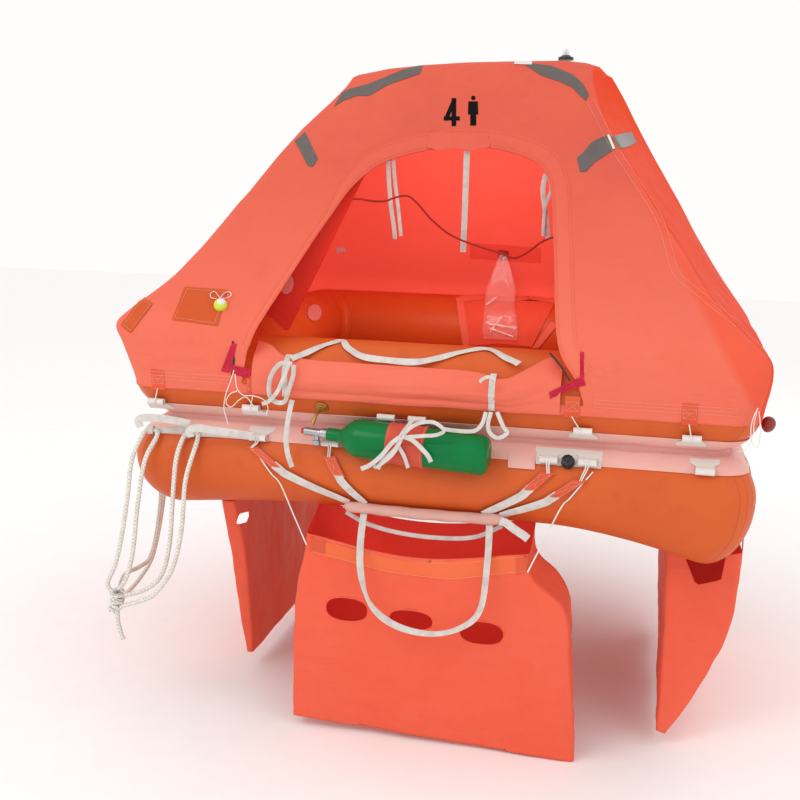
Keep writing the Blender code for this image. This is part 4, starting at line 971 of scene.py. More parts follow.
def canopy_piece():
    grid = canopy_grid
    rows, cols = grid.shape[:2]
    uvs = np.concatenate([round_uvs(grid), np.tile(column_beside, rows)[:, None]], axis=1)

    def inside(places):
        return in_entrance(places[:, [0, 2]]) & (places[:, 1] < DOORWAY_BEFORE_Y)

    cut = cut_away(grid.reshape(-1, 3), uvs, grid_faces(rows, cols, closed_cols=True), inside)
    points, uvs, faces = only_used(*cut)
    beside, uvs = uvs[:, 2], uvs[:, :2]
    piece = add_piece(
        "canopy", points, faces, canopy_look, uvs=uvs,
        stands_for=("canopy_front", "canopy_back", "canopy_left", "canopy_right"), slot="canopy_salmon",
    )
    for look in (lining_shade_glow_look, right_side_shade_look, lining_shade_glow_look):
        piece.data.materials.append(look)
    right_side_shade_index = piece.data.materials.find(right_side_shade_look.name)
    # The right side panel's faces take the painted shade.
    for polygon in piece.data.polygons:
        if polygon.center.x > 0 and all(beside[k] > 0.5 for k in polygon.vertices):
            polygon.material_index = right_side_shade_index
    add_wall(piece, -1.0)
    return piece


canopy_piece()

# Arch.

ARCH_TOP_Z = RIDGE_Z - 0.003 - ARCH_R - 0.009
ARCH_LEFT_X, ARCH_RIGHT_X = -0.330, 0.300
ARCH_BEND_R = 0.13


def arch():
    knots = [Vector((x, ARCH_Y, z)) for x, z in (
        (-0.700, UPPER_Z + 0.08), (ARCH_LEFT_X, ARCH_TOP_Z), (ARCH_RIGHT_X, ARCH_TOP_Z), (0.700, UPPER_Z + 0.08),
    )]
    path = [knots[0].lerp(knots[1], k / 24) for k in range(18)]
    path += arc_points(knots[0], knots[1], knots[2], ARCH_BEND_R, 14)
    path += [Vector((-0.20 + 0.36 * k / 8, ARCH_Y, ARCH_TOP_Z)) for k in range(1, 9)]
    path += arc_points(knots[1], knots[2], knots[3], ARCH_BEND_R, 14)
    path += [knots[3].lerp(knots[2], k / 24) for k in range(17, -1, -1)]
    path = [Vector(p) for p in lifted(path)]
    return rod("canopy_arch", path, ARCH_R, inner_look, sides=40, stands_for=("arch_tube",), slot="inner_red")


arch_made = arch()

# Where things lie: the surfaces that the camera and the fittings meet.

SKINS = {
    "canopy": bvh_of(canopy_grid, closed_cols=True),
    "upper": bvh_of(np.concatenate([upper_grid, upper_grid[:1]]), closed_cols=True),
    "lower": bvh_of(np.concatenate([lower_grid, lower_grid[:1]]), closed_cols=True),
    "arch": BVHTree.FromPolygons(
        [v.co for v in arch_made.data.vertices], [tuple(p.vertices) for p in arch_made.data.polygons]),
}


def look_along(start, aim, skins):
    """The nearest place where a line meets some surfaces, and the direction out of it towards the start."""
    best = None
    for name in skins:
        place, normal, _, far = SKINS[name].ray_cast(start, aim)
        if place is not None and (best is None or far < best[2]):
            best = (place, normal, far)
    if best is None:
        return None
    place, normal, _ = best
    return place, (-normal if normal.dot(aim) > 0 else normal)


def seen(px, py, skins=("canopy",), past=None, lift=0.0008):
    """The place that the camera sees at a pixel on the nearest of some surfaces, and the direction out of it.
    past is the Y that the look starts from."""
    aim = ray(px, py)
    start = EYE if past is None else EYE + aim * ((past - EYE.y) / aim.y)
    found = look_along(start, aim, skins)
    if found is None:
        return None
    return found[0] + found[1] * lift, found[1]


def patch(name, corners, material, skins=("canopy",), past=None, lift=0.0010, cells=(14, 10)):
    """A thin patch stuck on what lies behind it.
    Its corners are pixels: lower left, lower right, upper right, upper left."""
    a, b, c, d = (Vector((*p, 0)) for p in corners)

    def place(row, col):
        u, v = col / (cells[0] - 1), row / (cells[1] - 1)
        pixel = a.lerp(b, u).lerp(d.lerp(c, u), v)
        return seen(pixel.x, pixel.y, skins, past, lift)[0]

    return solid_sheet(name, grid_of(cells[1], cells[0], place), PATCH_THICKNESS, material)


def ribbon_patch(name, line, half_width, material, skins, lift):
    """A tape stuck along a line of pixels."""
    line = pixel_route(line, 6)
    grid = [[], [], [], [], []]
    for k, place in enumerate(line):
        ahead = (line[min(k + 1, len(line) - 1)] - line[max(k - 1, 0)]).normalized()
        across = Vector((ahead.y, -ahead.x, 0)) * half_width
        for r, part in enumerate((-1.0, -0.5, 0.0, 0.5, 1.0)):
            found = seen(place.x + across.x * part, place.y + across.y * part, skins, lift=lift)
            if found is None:
                found = seen(place.x, place.y, skins, lift=lift)
            grid[r].append(tuple(found[0]))
    return solid_sheet(name, grid, PATCH_THICKNESS, material)


STITCH_R = 0.00045


def stitches(name, lines, material=stitch_look, pitch=0.0042, body="raft"):
    """Rows of short raised threads. Each line is a list of places."""
    points, faces = [], []
    for line in lines:
        count = max(2, round(length_of(line) / pitch))
        dots = resample(line, 2 * count)
        for a, b in zip(dots[::2], dots[1::2]):
            end = a.lerp(b, 1.35)
            side, across = square_to((end - a).normalized())
            first = len(points)
            for place in (a, end):
                points += [place + around(side, across, math.tau * k / 4) * STITCH_R for k in range(4)]
            faces += [(first + k, first + (k + 1) % 4, first + 4 + (k + 1) % 4, first + 4 + k) for k in range(4)]
            faces += [(first + 3, first + 2, first + 1, first), (first + 4, first + 5, first + 6, first + 7)]
    return add_piece(name, points, faces, material, body=body)


def between(grid, u, v):
    """A place on a grid of points, at parts u along its columns and v along its rows."""
    rows, cols = len(grid), len(grid[0])
    r, c = v * (rows - 1), u * (cols - 1)
    r0, c0 = min(int(r), rows - 2), min(int(c), cols - 2)
    near = Vector(grid[r0][c0]).lerp(Vector(grid[r0][c0 + 1]), c - c0)
    far = Vector(grid[r0 + 1][c0]).lerp(Vector(grid[r0 + 1][c0 + 1]), c - c0)
    return near.lerp(far, r - r0)


def cross_lines(grid, lift, margin=0.10):
    """A sewn square with its two diagonals, over a grid of points."""
    grid = raised(grid, lift)
    low, high = margin, 1 - margin
    square = ((low, low), (high, low), (high, high), (low, high), (low, low))
    lines = []
    for (u0, v0), (u1, v1) in (*zip(square, square[1:]), ((low, low), (high, high)), ((high, low), (low, high))):
        lines.append([between(grid, u0 + (u1 - u0) * k / 8, v0 + (v1 - v0) * k / 8) for k in range(9)])
    return lines


CANOPY_PX, CANOPY_PY = 450, 260
NEAR_STEPS, NEAR_STEP = 26, 0.006


def near_seen(px, py, skins, past, lift):
    """What is seen at a pixel, or at the nearest one towards the middle of the canopy that meets something."""
    for step in range(NEAR_STEPS):
        part = step * NEAR_STEP
        found = seen(px + (CANOPY_PX - px) * part, py + (CANOPY_PY - py) * part, skins, past, lift)
        if found:
            return found


BEFORE_ALL_Y, BEHIND_ALL_Y = -3.0, 3.0


def on_back(grid, lift):
    """A shape on the front panel, moved straight through to the outside of the back panel."""
    made = []
    for row in grid:
        line = []
        for x, _, z in row:
            place, normal, _, _ = SKINS["canopy"].ray_cast(Vector((x, BEHIND_ALL_Y, z)), Vector((0, -1, 0)))
            line.append(tuple(place + (normal if normal.y > 0 else -normal) * lift))
        made.append(line[::-1])
    return made


def lined_patch(name, low, high, material, skins=("canopy",), past=None, lift=0.0014, cells=(26, 6), ripple=0.0,
                back=False):
    """A patch between two lines of pixels, the lower one first, each from left to right.
    back gives the back panel the same patch."""
    low, high = (resample([(*p, 0) for p in line], cells[0]) for line in (low, high))

    def place(row, col):
        pixel = low[col].lerp(high[col], row / (cells[1] - 1))
        found, out = near_seen(pixel.x, pixel.y, skins, past, lift)
        return found + out * (ripple * noise.noise(Vector((pixel.x * 0.11, pixel.y * 0.11, 3.0))))

    grid = grid_of(cells[1], cells[0], place)
    if back:
        solid_sheet(name + "_back", on_back(grid, lift), PATCH_THICKNESS, material)
    solid_sheet(name, grid, PATCH_THICKNESS, material)


def round_patch(name, px, py, half_width, half_height, material, skins=("canopy",), past=None, lift=0.0014,
                tilt=0.0):
    """A round spot on what is seen at a pixel."""

    def place(row, col):
        part, turn = 1.0 - row / 4 * 0.98, -math.tau * col / 24
        u, v = half_width * part * math.cos(turn), half_height * part * math.sin(turn)
        x, y = px + u * math.cos(tilt) - v * math.sin(tilt), py + u * math.sin(tilt) + v * math.cos(tilt)
        return near_seen(x, y, skins, past, lift)[0]

    solid_sheet(name, grid_of(5, 25, place), 0.0008, material)


# Painter: its cords come first.

TOW_LOOPS = {
    # name: side, sleeve, sewn
    "corner": ("front", -0.800, -0.700),
    "front": ("front", -0.676, -0.540),
    "side": ("left", -0.545, -0.440),
}
TOW_ANGLE = 40
TOW_REACH = TUBE_R + 0.0035
TOW_SLEEVE_R = 0.0125
TOW_SLEEVE_REACH = TOW_REACH + TOW_SLEEVE_R - 0.001
PAINTER_BIGHTS = {
    # tow_loop: first_strand, second_strand
    "front": (
        ((-0.872, -0.903, -0.404), (-0.800, -0.893, -0.378), (-0.752, -0.890, -0.330), (-0.727, -0.888, -0.240),
         (-0.716, -0.884, -0.100), (-0.708, -0.876, 0.010)),
        ((-0.872, -0.911, -0.432), (-0.815, -0.912, -0.410), (-0.766, -0.909, -0.384), (-0.712, -0.905, -0.305),
         (-0.684, -0.900, -0.186), (-0.674, -0.888, -0.040)),
    ),
    "corner": (
        ((-0.899, -0.905, -0.396), (-0.914, -0.905, -0.368), (-0.892, -0.903, -0.315), (-0.872, -0.899, -0.235),
         (-0.852, -0.893, -0.110), (-0.842, -0.880, 0.000)),
        ((-0.878, -0.904, -0.380), (-0.860, -0.897, -0.350), (-0.838, -0.895, -0.270), (-0.822, -0.890, -0.130),
         (-0.802, -0.880, 0.000)),
    ),
    "side": (
        ((-0.888, -0.893, -0.398), (-0.892, -0.842, -0.362), (-0.892, -0.744, -0.370), (-0.892, -0.675, -0.366),
         (-0.892, -0.630, -0.311), (-0.892, -0.590, -0.205), (-0.892, -0.570, -0.060)),
        ((-0.890, -0.892, -0.430), (-0.900, -0.820, -0.430), (-0.904, -0.715, -0.415), (-0.904, -0.625, -0.372),
         (-0.902, -0.560, -0.250), (-0.896, -0.530, -0.100), (-0.892, -0.522, 0.000)),
    ),
}
SLEEVE_BEND = (
    (-0.022, 0.011, -0.014), (-0.010, 0, 0), (-0.005, 0, 0), (0.005, 0, 0), (0.010, 0, 0), (0.022, 0.011, -0.014),
)
PAINTER_TAIL = (
    (-0.885, -0.907, -0.440), (-0.884, -0.906, -0.476), (-0.879, -0.905, -0.506), (-0.871, -0.903, -0.536),
)
KNOT_PLACE, KNOT_AXIS = Vector((-0.886, -0.906, -0.415)), Vector((0.15, 0, 1)).normalized()


def outward(side, angle_deg):
    """The direction away from a side's tube at an angle up from level."""
    return side_point(side, 0.0, 1.0, angle_deg, 0.0) - side_point(side, 0.0, 0.0, 0.0, 0.0)


def ahead_of(side):
    """The direction along a side, the way that along grows."""
    return side_point(side, 1.0, 0.0, 0.0, 0.0) - side_point(side, 0.0, 0.0, 0.0, 0.0)


def painter():
    for name, (first_strand, second_strand) in PAINTER_BIGHTS.items():
        side, sleeve_at, _ = TOW_LOOPS[name]
        through = side_point(side, sleeve_at, TOW_SLEEVE_REACH, TOW_ANGLE - 2, 0.0)
        bend = [through + ahead_of(side) * x + outward(side, 0) * out + Vector((0, 0, up))
                for x, out, up in SLEEVE_BEND]
        if side == "left":
            bend.reverse()
        path = smooth_route([*map(Vector, first_strand), *bend, *map(Vector, reversed(second_strand))], 8)
        made = rod("painter_rope_" + name, path, ROPE_R, rope_look, sides=14,
                   stands_for=("painter_bight_" + name,), slot="webbing_white")
    wraps = []
    side, across = square_to(KNOT_AXIS)
    for k in range(91):
        turn = math.tau * k / 20
        wide = 0.0150 + 0.0012 * math.sin(turn * 0.7)
        place = KNOT_PLACE + KNOT_AXIS * (0.026 - 0.052 * k / 90 + 0.003 * math.sin(turn * 1.5))
        wraps.append(place + around(side, across, turn) * wide)
    wraps = [KNOT_PLACE + KNOT_AXIS * 0.040, KNOT_PLACE + KNOT_AXIS * 0.034 + side * 0.008] + wraps
    wraps += [KNOT_PLACE - KNOT_AXIS * 0.036 + side * 0.006, KNOT_PLACE - KNOT_AXIS * 0.044]
    rod("painter_knot_wraps", wraps, ROPE_R * 0.98, rope_look, sides=12, stands_for=("painter_knot",),
        slot="webbing_white")
    path = smooth_route(PAINTER_TAIL, 8)
    made = rod("painter_rope_tail", path, ROPE_R, rope_look, sides=14, stands_for=("painter_tail",),
               slot="webbing_white", profile=lambda part: 1.0 if part < 0.9 else 1.0 + 0.35 * (part - 0.9) / 0.1)


painter()

# Tow loops.

TOW_LEAN = 5
TOW_W = 0.024


def tow_loops():
    for name, (side, sleeve_at, sewn_at) in TOW_LOOPS.items():
        rows = 22
        grid = []
        for r in range(rows):
            part = r / (rows - 1)
            along = sewn_at + (sleeve_at - sewn_at) * part
            row = []
            for c in range(9):
                across = (c / 8 - 0.5) * TOW_W * (1.0 - 0.12 * math.sin(part * math.pi))
                curl = 0.004 * math.sin(part * math.pi) * math.cos(math.pi * (c / 8 - 0.5) * 1.2)
                angle = TOW_ANGLE + TOW_LEAN * (1 - part) + math.degrees(across / TUBE_R)
                row.append(tuple(side_point(side, along, TOW_REACH + curl + 0.0006, angle, 0.0)))
            grid.append(row)
        solid_sheet("tow_strap_" + name, grid, 0.0016, web_look, stands_for=("tow_loop_" + name,),
                    slot="webbing_white")
        out = outward(side, TOW_ANGLE - 2)
        up = out.cross(ahead_of(side)).normalized()
        centre = side_point(side, sleeve_at, TOW_SLEEVE_REACH, TOW_ANGLE - 2, 0.0)
        ring = []
        for k in range(29):
            turn = math.tau * 0.96 * k / 28 + math.radians(200)
            radius = TOW_SLEEVE_R - 0.0012 + 0.0006 * math.sin(3 * turn)
            ring.append(centre + around(out, up, turn) * radius)
        facing = [p - centre for p in ring]
        strap("tow_sleeve_" + name, ring, facing, 0.017, web_look, 0.0018)


tow_loops()

# T-patches with their rolls, and what hangs on them.

UPPER_PATCHES = (
    ("front", -0.780), ("front", -0.495), ("front", -0.108), ("front", -0.022), ("front", 0.420), ("front", 0.696),
    ("right", -0.450), ("right", 0.000), ("right", 0.450), ("left", -0.450), ("left", 0.000), ("left", 0.450),
    ("back", -0.500), ("back", 0.000), ("back", 0.500),
)
LOWER_PATCHES = (
    ("front", -0.478), ("front", -0.266), ("front", 0.334), ("front", 0.436), ("front", 0.735),
    ("right", -0.250), ("right", 0.350), ("left", -0.250), ("left", 0.350), ("back", -0.350), ("back", 0.350),
)
ROLL_REACH, ROLL_R, ROLL_ANGLE, UPPER_ROLL_ANGLE = TUBE_R + 0.015, 0.009, 38.0, -32.0
PATCH_HALF_W, ROLL_HALF_W = 0.038, 0.024


def t_patch(name, side, along, axis_z, roll_angle, away):
    """A patch on a seam band whose neck is rolled into a sleeve. away is 1 where the roll is above the band."""
    centre = Vector((0.0, ROLL_REACH - TUBE_R))
    profile = [(-0.046, 0.0030), (-0.036, 0.0036), (-0.026, 0.0040), (-0.0165, 0.0052), (-0.0125, 0.0090)]
    turns = (165, 135, 105, 75, 45, 15, -15, -45, -75, -105, -135, -165, -188)
    profile += [(ROLL_R * math.cos(math.radians(t)), centre.y + ROLL_R * math.sin(math.radians(t))) for t in turns]
    line = smooth_route([(t, h, 0) for t, h in profile], 2)
    grid = []
    wobble = noise.noise(Vector((along * 9, axis_z * 7, len(side))))
    for p in line:
        part = min(max((p.x + 0.030) / 0.010, 0.0), 1.0)
        on_neck = part * part * (3 - 2 * part) if p.y < 0.006 or p.x > -0.015 else 1.0
        half = PATCH_HALF_W + (ROLL_HALF_W - PATCH_HALF_W) * (on_neck if p.x > -0.030 else 0.0)
        row = []
        for c in range(15):
            u = c / 7 - 1
            place_along = along + half * u
            angle = roll_angle + away * math.degrees(p.x / TUBE_R) + wobble * 2.0 * u * (1 if p.x < -0.02 else 0)
            lift = 0.0007 * noise.noise(Vector((place_along * 60, p.x * 60, axis_z)))
            row.append(tuple(side_point(side, place_along, TUBE_R + p.y + lift + 0.0008, angle, axis_z)))
        grid.append(row)
    out = grid_normals(grid)[2, 7]
    if Vector(out).dot(outward(side, roll_angle)) < 0:
        grid = [row[::-1] for row in grid]
    return solid_sheet(name, grid, 0.0014, white_look, slot="band_pink")


def cord_loop(name, path, radius=0.0013, body="raft"):
    return rod(name, smooth_route(path, 6), radius, cord_look, sides=8, body=body)


def roll_place(side, along, axis_z, roll_angle, out=0.0):
    return side_point(side, along, ROLL_REACH + out, roll_angle, axis_z)


def hem_place(side, along, z, lift=0.0012):
    """A place on the canopy's outside near its hem."""
    start = side_point(side, along, 0.6, 0.0, z)
    aim = -outward(side, 0.0)
    found = look_along(start, aim, ("canopy",))
    if found is None:
        return side_point(side, along, TUBE_R + 0.006, 0.0, z)
    return found[0] + found[1] * lift


def hem_tabs_and_cords():
    lines = []
    for k, (side, along) in enumerate(UPPER_PATCHES):
        t_patch("upper_t_patch_%d" % k, side, along, UPPER_Z, UPPER_ROLL_ANGLE, 1)
        if side == "front" and -0.2 < along < 0.1:
            continue
        shift = 0.030 if (side, along) == ("front", 0.420) else 0.010 if side == "front" else 0.0
        tab_at = along - shift * (1 if along > 0 else -1)
        grid = [[tuple(hem_place(side, tab_at + (c / 6 - 0.5) * 0.040, 0.206 + 0.056 * r / 9)) for c in range(7)]
                for r in range(10)]
        solid_sheet("hem_tab_%d" % k, grid, 0.0010, red_patch_look)
        lines += cross_lines(grid[2:8], 0.0006 if side in ("front", "right") else -0.0006)
        low = hem_place(side, tab_at, 0.208, 0.0016)
        roll = roll_place(side, along, UPPER_Z, UPPER_ROLL_ANGLE, ROLL_R + 0.0016)
        inside = roll_place(side, along, UPPER_Z, UPPER_ROLL_ANGLE - 4, -ROLL_R - 0.0004)
        cord_loop("hem_cord_%d" % k, [low, low.lerp(roll, 0.5) + outward(side, 0) * 0.002, roll, inside], 0.0015)
    stitches("hem_tab_stitches", lines)
    for k, (side, along) in enumerate(LOWER_PATCHES):
        t_patch("lower_t_patch_%d" % k, side, along, 0.0, ROLL_ANGLE, -1)


hem_tabs_and_cords()

# The joint between the tubes.

def joint_web():
    """The strip that closes the joint from one seam band to the other."""
    rows = []
    for k in range(9):
        part = k / 8
        out = math.cos(math.radians(63)) * TUBE_R + 0.002 - 0.014 * math.sin(part * math.pi)
        z = 0.1085 + (0.1315 - 0.1085) * part
        stations = outline(HALF_X + out, HALF_Y + out, corner_radius(out))
        rows.append([(p.x, p.y, z + 0.0007 * noise.noise(Vector((p.x * 20, p.y * 20, z * 90)))) for p in stations])
    rows = np.array(rows)
    inner = rows.copy()
    inner[:, :, :2] *= 0.996
    ring = np.concatenate([rows, inner[::-1]])
    points = ring.transpose(1, 0, 2)
    faces = grid_faces(points.shape[0], points.shape[1], closed_rows=True, closed_cols=True)
    add_piece("joint_web", points.reshape(-1, 3), faces, valley_shade_look, slot="band_pink", sharp=60)


joint_web()

# Door curtain and the webbing over the sill.

CURTAIN_ROWS = (
    # x, top_angle, thickness
    (-0.488, 58, 0.010), (-0.450, 50, 0.016), (-0.390, 34, 0.020), (-0.240, 30, 0.022), (0.000, 29, 0.022),
    (0.144, 27, 0.022), (0.212, 22, 0.022), (0.272, 38, 0.018), (0.325, 56, 0.014), (0.358, 42, 0.010),
)
CURTAIN_LOW_ANGLE, CURTAIN_LOW_REACH = -14, TUBE_R + 0.0041
CURTAIN_TIE_X = (-0.390, 0.180)


def curtain_reach(x, thickness, part):
    """The curtain's outer face: a flat hem, a groove, and a soft roll above it."""
    pinch = sum(math.exp(-((x - tie) / 0.020) ** 2) for tie in CURTAIN_TIE_X)
    if part < 0.20:
        high = 0.34 + 0.10 * math.sin(part / 0.20 * math.pi)
    else:
        q = (part - 0.20) / 0.80
        high = 0.30 + 0.85 * math.sin(min(1.0, q * 1.9) * math.pi / 2) ** 0.7 * (1.0 - 0.52 * q ** 3)
        high -= 0.22 * pinch
    fold = noise.noise(Vector((x * 5.0, part * 7.0, 1.0))) * 0.0030
    fold += noise.noise(Vector((x * 16, part * 9.0, 4.0))) * 0.0013
    return CURTAIN_LOW_REACH + thickness * high + fold * min(1.0, part * 4)


def door_curtain():
    steps = 34
    grid, points = [], []
    for p in smooth_route(CURTAIN_ROWS, 14):
        outer, inner = [], []
        low_angle = CURTAIN_LOW_ANGLE + 1.2 * noise.noise(Vector((p.x * 7, 0, 0)))
        for k in range(steps):
            part = k / (steps - 1)
            angle = low_angle + (p.y - low_angle) * part
            outer.append(front_point(p.x, curtain_reach(p.x, p.z, part), angle, UPPER_Z))
            inner.append(front_point(p.x, CURTAIN_LOW_REACH - 0.0005, angle, UPPER_Z))
        top = (outer[-1] + inner[-1]) / 2
        over = top - front_point(p.x, CURTAIN_LOW_REACH, p.y - 6, UPPER_Z)
        over = over.normalized() * (outer[-1] - inner[-1]).length * 0.45
        lip = [outer[-1].lerp(top, 0.35) + over * 0.75, top + over, inner[-1].lerp(top, 0.35) + over * 0.75]
        grid.append([tuple(q) for q in outer + lip])
        points.append([tuple(q) for q in outer + lip + inner[::-1]])
    points = np.array(points)
    made = add_piece("door_curtain_cloth", points.reshape(-1, 3), tube_faces(*points.shape[:2]), curtain_look,
                     uvs=grid_uvs(points).reshape(-1, 2), stands_for=("door_curtain",), slot="canopy_salmon",
                     sharp=70)
    SKINS["curtain"] = bvh_of(grid)


door_curtain()

SILL_ROUTE = (
    # x, angle, rise
    (-0.374, 31, 0.026), (-0.340, 44, 0.009), (-0.290, 66, 0.0018), (-0.258, 76, 0.0018), (-0.232, 58, 0.004),
    (-0.183, 41, 0.018), (-0.110, 37, 0.021), (-0.030, 37, 0.020), (0.025, 48, 0.006), (0.084, 64, 0.0018),
    (0.147, 76, 0.0018), (0.205, 56, 0.004), (0.244, 42, 0.020),
)


def tube_route(route, axis_z, steps, twist=0.0):
    """Places and directions along a run over the front tube: rows are x, angle, and reach from the tube's axis."""
    smooth = smooth_route([(x, angle / 100.0, reach) for x, angle, reach in route], steps)
    path = [front_point(p.x, p.z, p.y * 100.0, axis_z) for p in smooth]
    facing = []
    for k, p in enumerate(smooth):
        lean = p.y * 100.0 + twist * math.sin(k * 0.55)
        facing.append(front_point(p.x, 1.0, lean, 0.0) - front_point(p.x, 0.0, 0.0, 0.0))
    return path, facing


def sill_web_and_ties():
    path, facing = tube_route([(x, a, TUBE_R + 0.0012 + rise) for x, a, rise in SILL_ROUTE], UPPER_Z, 8, 6.0)
    strap("sill_webbing", path, facing, 0.019, web_look, stands_for=("sill_web",), slot="webbing_white")
    for name, x, thickness in (("left", -0.390, 0.020), ("right", 0.180, 0.022)):
        top = 34 if name == "left" else 24.5
        route = []
        for k in range(19):
            part = 1 - k / 18 * 0.97
            angle = CURTAIN_LOW_ANGLE + (top - CURTAIN_LOW_ANGLE) * part
            route.append((x, angle, curtain_reach(x, thickness, part) + 0.0013))
        route = [(x, top + 6, CURTAIN_LOW_REACH + 0.004)] + route
        path, facing = tube_route(route, UPPER_Z, 2)
        strap("curtain_tie_web_" + name, path, facing, 0.017, web_look, stands_for=("curtain_tie_" + name,),
              slot="webbing_white")


sill_web_and_ties()


def pixel_strap(name, route, width, facing=(0, -1, 0.15), steps=7, thickness=0.0013, **words):
    """Webbing whose rows are a pixel and the Y that it lies at."""
    path = smooth_route([at_y(*row) for row in route], steps)
    return strap(name, path, facing, width, web_look, thickness, **words)


TAB_CELLS = 8


def ties_and_tails():
    pixel_strap("tie_left_loop", (
        (292, 364, -0.886), (280, 364, -0.893), (271, 376, -0.896), (269, 392, -0.894), (274, 401, -0.890),
        (284, 402, -0.892), (288, 392, -0.896), (293, 376, -0.896), (294, 365, -0.889),
    ), 0.013, facing=(0.9, -1, 0.1), steps=6)
    pixel_strap("tie_left_short", (
        (289, 364, -0.888), (283, 379, -0.900), (277, 392, -0.901), (269, 401, -0.895), (262, 404, -0.889),
    ), 0.011, facing=(0.2, -1, 0.3))
    pixel_strap("tie_left_tail", (
        (292, 400, -0.881), (288, 420, -0.880), (286, 440, -0.882), (288, 455, -0.884), (292, 467, -0.884),
    ), 0.014, facing=(0.25, -1, 0.0))
    pixel_strap("tie_right_knot", (
        (480, 382, -0.893), (483, 379, -0.898), (489, 377, -0.899), (494, 380, -0.896), (491, 385, -0.892),
    ), 0.009, facing=(0, -1, 0.4), thickness=0.004)
    pixel_strap("tie_right_loop", (
        (497, 412, -0.876), (503, 426, -0.882), (507, 433, -0.884), (498, 438, -0.884), (490, 433, -0.884),
        (488, 424, -0.883), (491, 412, -0.876),
    ), 0.011, facing=(0.1, -1, 0.2))
    pixel_strap("tie_right_short", (
        (486, 412, -0.876), (482, 424, -0.883), (474, 431, -0.888), (458, 431, -0.892), (443, 429, -0.894),
    ), 0.011, facing=(0.1, -1, 0.3))
    for name, route in {
        "left": ((233, 341), (233, 350), (234, 360), (233, 368), (232, 375)),
        "right": ((550, 353), (556, 360), (562, 368), (567, 376), (570, 381)),
    }.items():
        ribbon_patch("curtain_zip_" + name, route, 1.0, black_look, ("curtain", "canopy", "upper"), lift=0.0016)
    tabs = (
        ("tab_left_side", ((221, 371), (230, 373), (237, 344), (232, 343))),
        ("tab_left_low", ((232, 374), (250, 378), (251, 369), (233, 365))),
        ("tab_right_side", ((580, 378), (584, 378), (584, 352), (580, 352))),
        ("tab_right_square", ((575, 388), (586, 385), (583, 377), (573, 380))),
        ("tab_right_low", ((550, 399), (575, 387), (573, 381), (549, 392))),
    )
    lines = []
    for name, corners in tabs:
        made = patch(name, corners, crimson_look, ("canopy", "curtain", "upper"), lift=0.0022,
                     cells=(TAB_CELLS, TAB_CELLS))
        grid = np.array([v.co for v in made.data.vertices])[:TAB_CELLS ** 2].reshape(TAB_CELLS, TAB_CELLS, 3)
        lines += cross_lines(grid, 0.0006, 0.15)
    stitches("tab_stitches", lines, crimson_look)


ties_and_tails()

# Ballast bags.

def ring_of(corners, counts, sags, rounding=2):
    """One level of a bag: a rectangle's points with soft corners, each side lower in its middle by its sag."""
    ring = []
    for k, (corner, count, sag) in enumerate(zip(corners, counts, sags)):
        after = corners[(k + 1) % len(corners)]
        for c in range(count):
            part = c / count
            low = Vector((0, 0, sag * math.sin(math.pi * part) ** 1.3))
            ring.append(Vector(corner).lerp(Vector(after), part) - low)
    ring = np.array([tuple(p) for p in ring])
    for _ in range(rounding):
        ring = 0.5 * ring + 0.25 * (np.roll(ring, 1, 0) + np.roll(ring, -1, 0))
    return ring


OVAL_POWER = 2.4


def in_ovals(ovals, low_y, high_y):
    """A test for places inside soft-cornered ovals of a wall that faces along Y.
    Ovals are x, z, half width, half height."""

    def inside(places):
        found = np.zeros(len(places), bool)
        for x, z, half_width, half_height in ovals:
            far = np.abs((places[:, 0] - x) / half_width) ** OVAL_POWER
            far += np.abs((places[:, 2] - z) / half_height) ** OVAL_POWER
            found |= far < 1.0
        return found & (places[:, 1] > low_y) & (places[:, 1] < high_y)

    return inside


def in_slit(px, py, half_length, half_height, lean):
    """A test for places that the camera sees inside a slit in the left bag."""

    def inside(places):
        off = places - np.array(EYE)
        deep = off @ np.array(AHEAD)
        x = FRAME_PX / 2 + FOCAL_PX * (off @ np.array(RIGHT)) / deep - px
        y = FRAME_PX / 2 - FOCAL_PX * (off @ np.array(UP)) / deep - py
        along = (x * math.cos(lean) + y * math.sin(lean)) / half_length
        across = (y * math.cos(lean) - x * math.sin(lean)) / half_height
        return np.abs(along) + np.abs(across) ** 1.4 < 1.0

    return inside


def bag(name, node, rings, wrinkle, ovals=(), oval_y=(0, 0), seed=0.0, slit=None):
    """A ballast bag from its level rings, the top one first, with the holes that its ovals or its slit give."""
    grid = np.array(rings)
    rows, cols = grid.shape[:2]
    flat = grid.reshape(-1, 3)
    part = np.repeat(np.linspace(0, 1, rows), cols)
    slack = bumps(flat * (1.0, 1.0, 0.55), 6.0, seed) * wrinkle
    slack += bumps(flat * (1.0, 1.0, 1.3), 17.0, seed + 3) * wrinkle * 0.35
    slack *= np.minimum(1.0, part * 5)
    grid = displaced(grid, slack, closed_cols=True)
    flat = grid.reshape(-1, 3)
    faces = grid_faces(rows, cols, closed_cols=True)
    centre = len(flat)
    last = (rows - 1) * cols
    flat = np.concatenate([flat, flat[last:].mean(axis=0)[None]])
    faces += [(last + c, last + (c + 1) % cols, centre) for c in range(cols)]
    uvs = np.concatenate([round_uvs(grid), [[0, 0]]])
    if ovals:
        flat, uvs, faces = cut_away(flat, uvs, faces, in_ovals(ovals, *oval_y))
    if slit:
        flat, uvs, faces = cut_away(flat, uvs, faces, in_slit(*slit))
    flat, uvs, faces = only_used(flat, uvs, faces)
    made = add_piece(name, flat, faces, bag_inside_shade_glow_look, uvs=uvs, stands_for=(node,), slot="bag_red")
    made.data.materials.append(bag_look)
    add_wall(made, 0.0)
    SKINS[name] = bvh_of(grid, closed_cols=True)
    return made


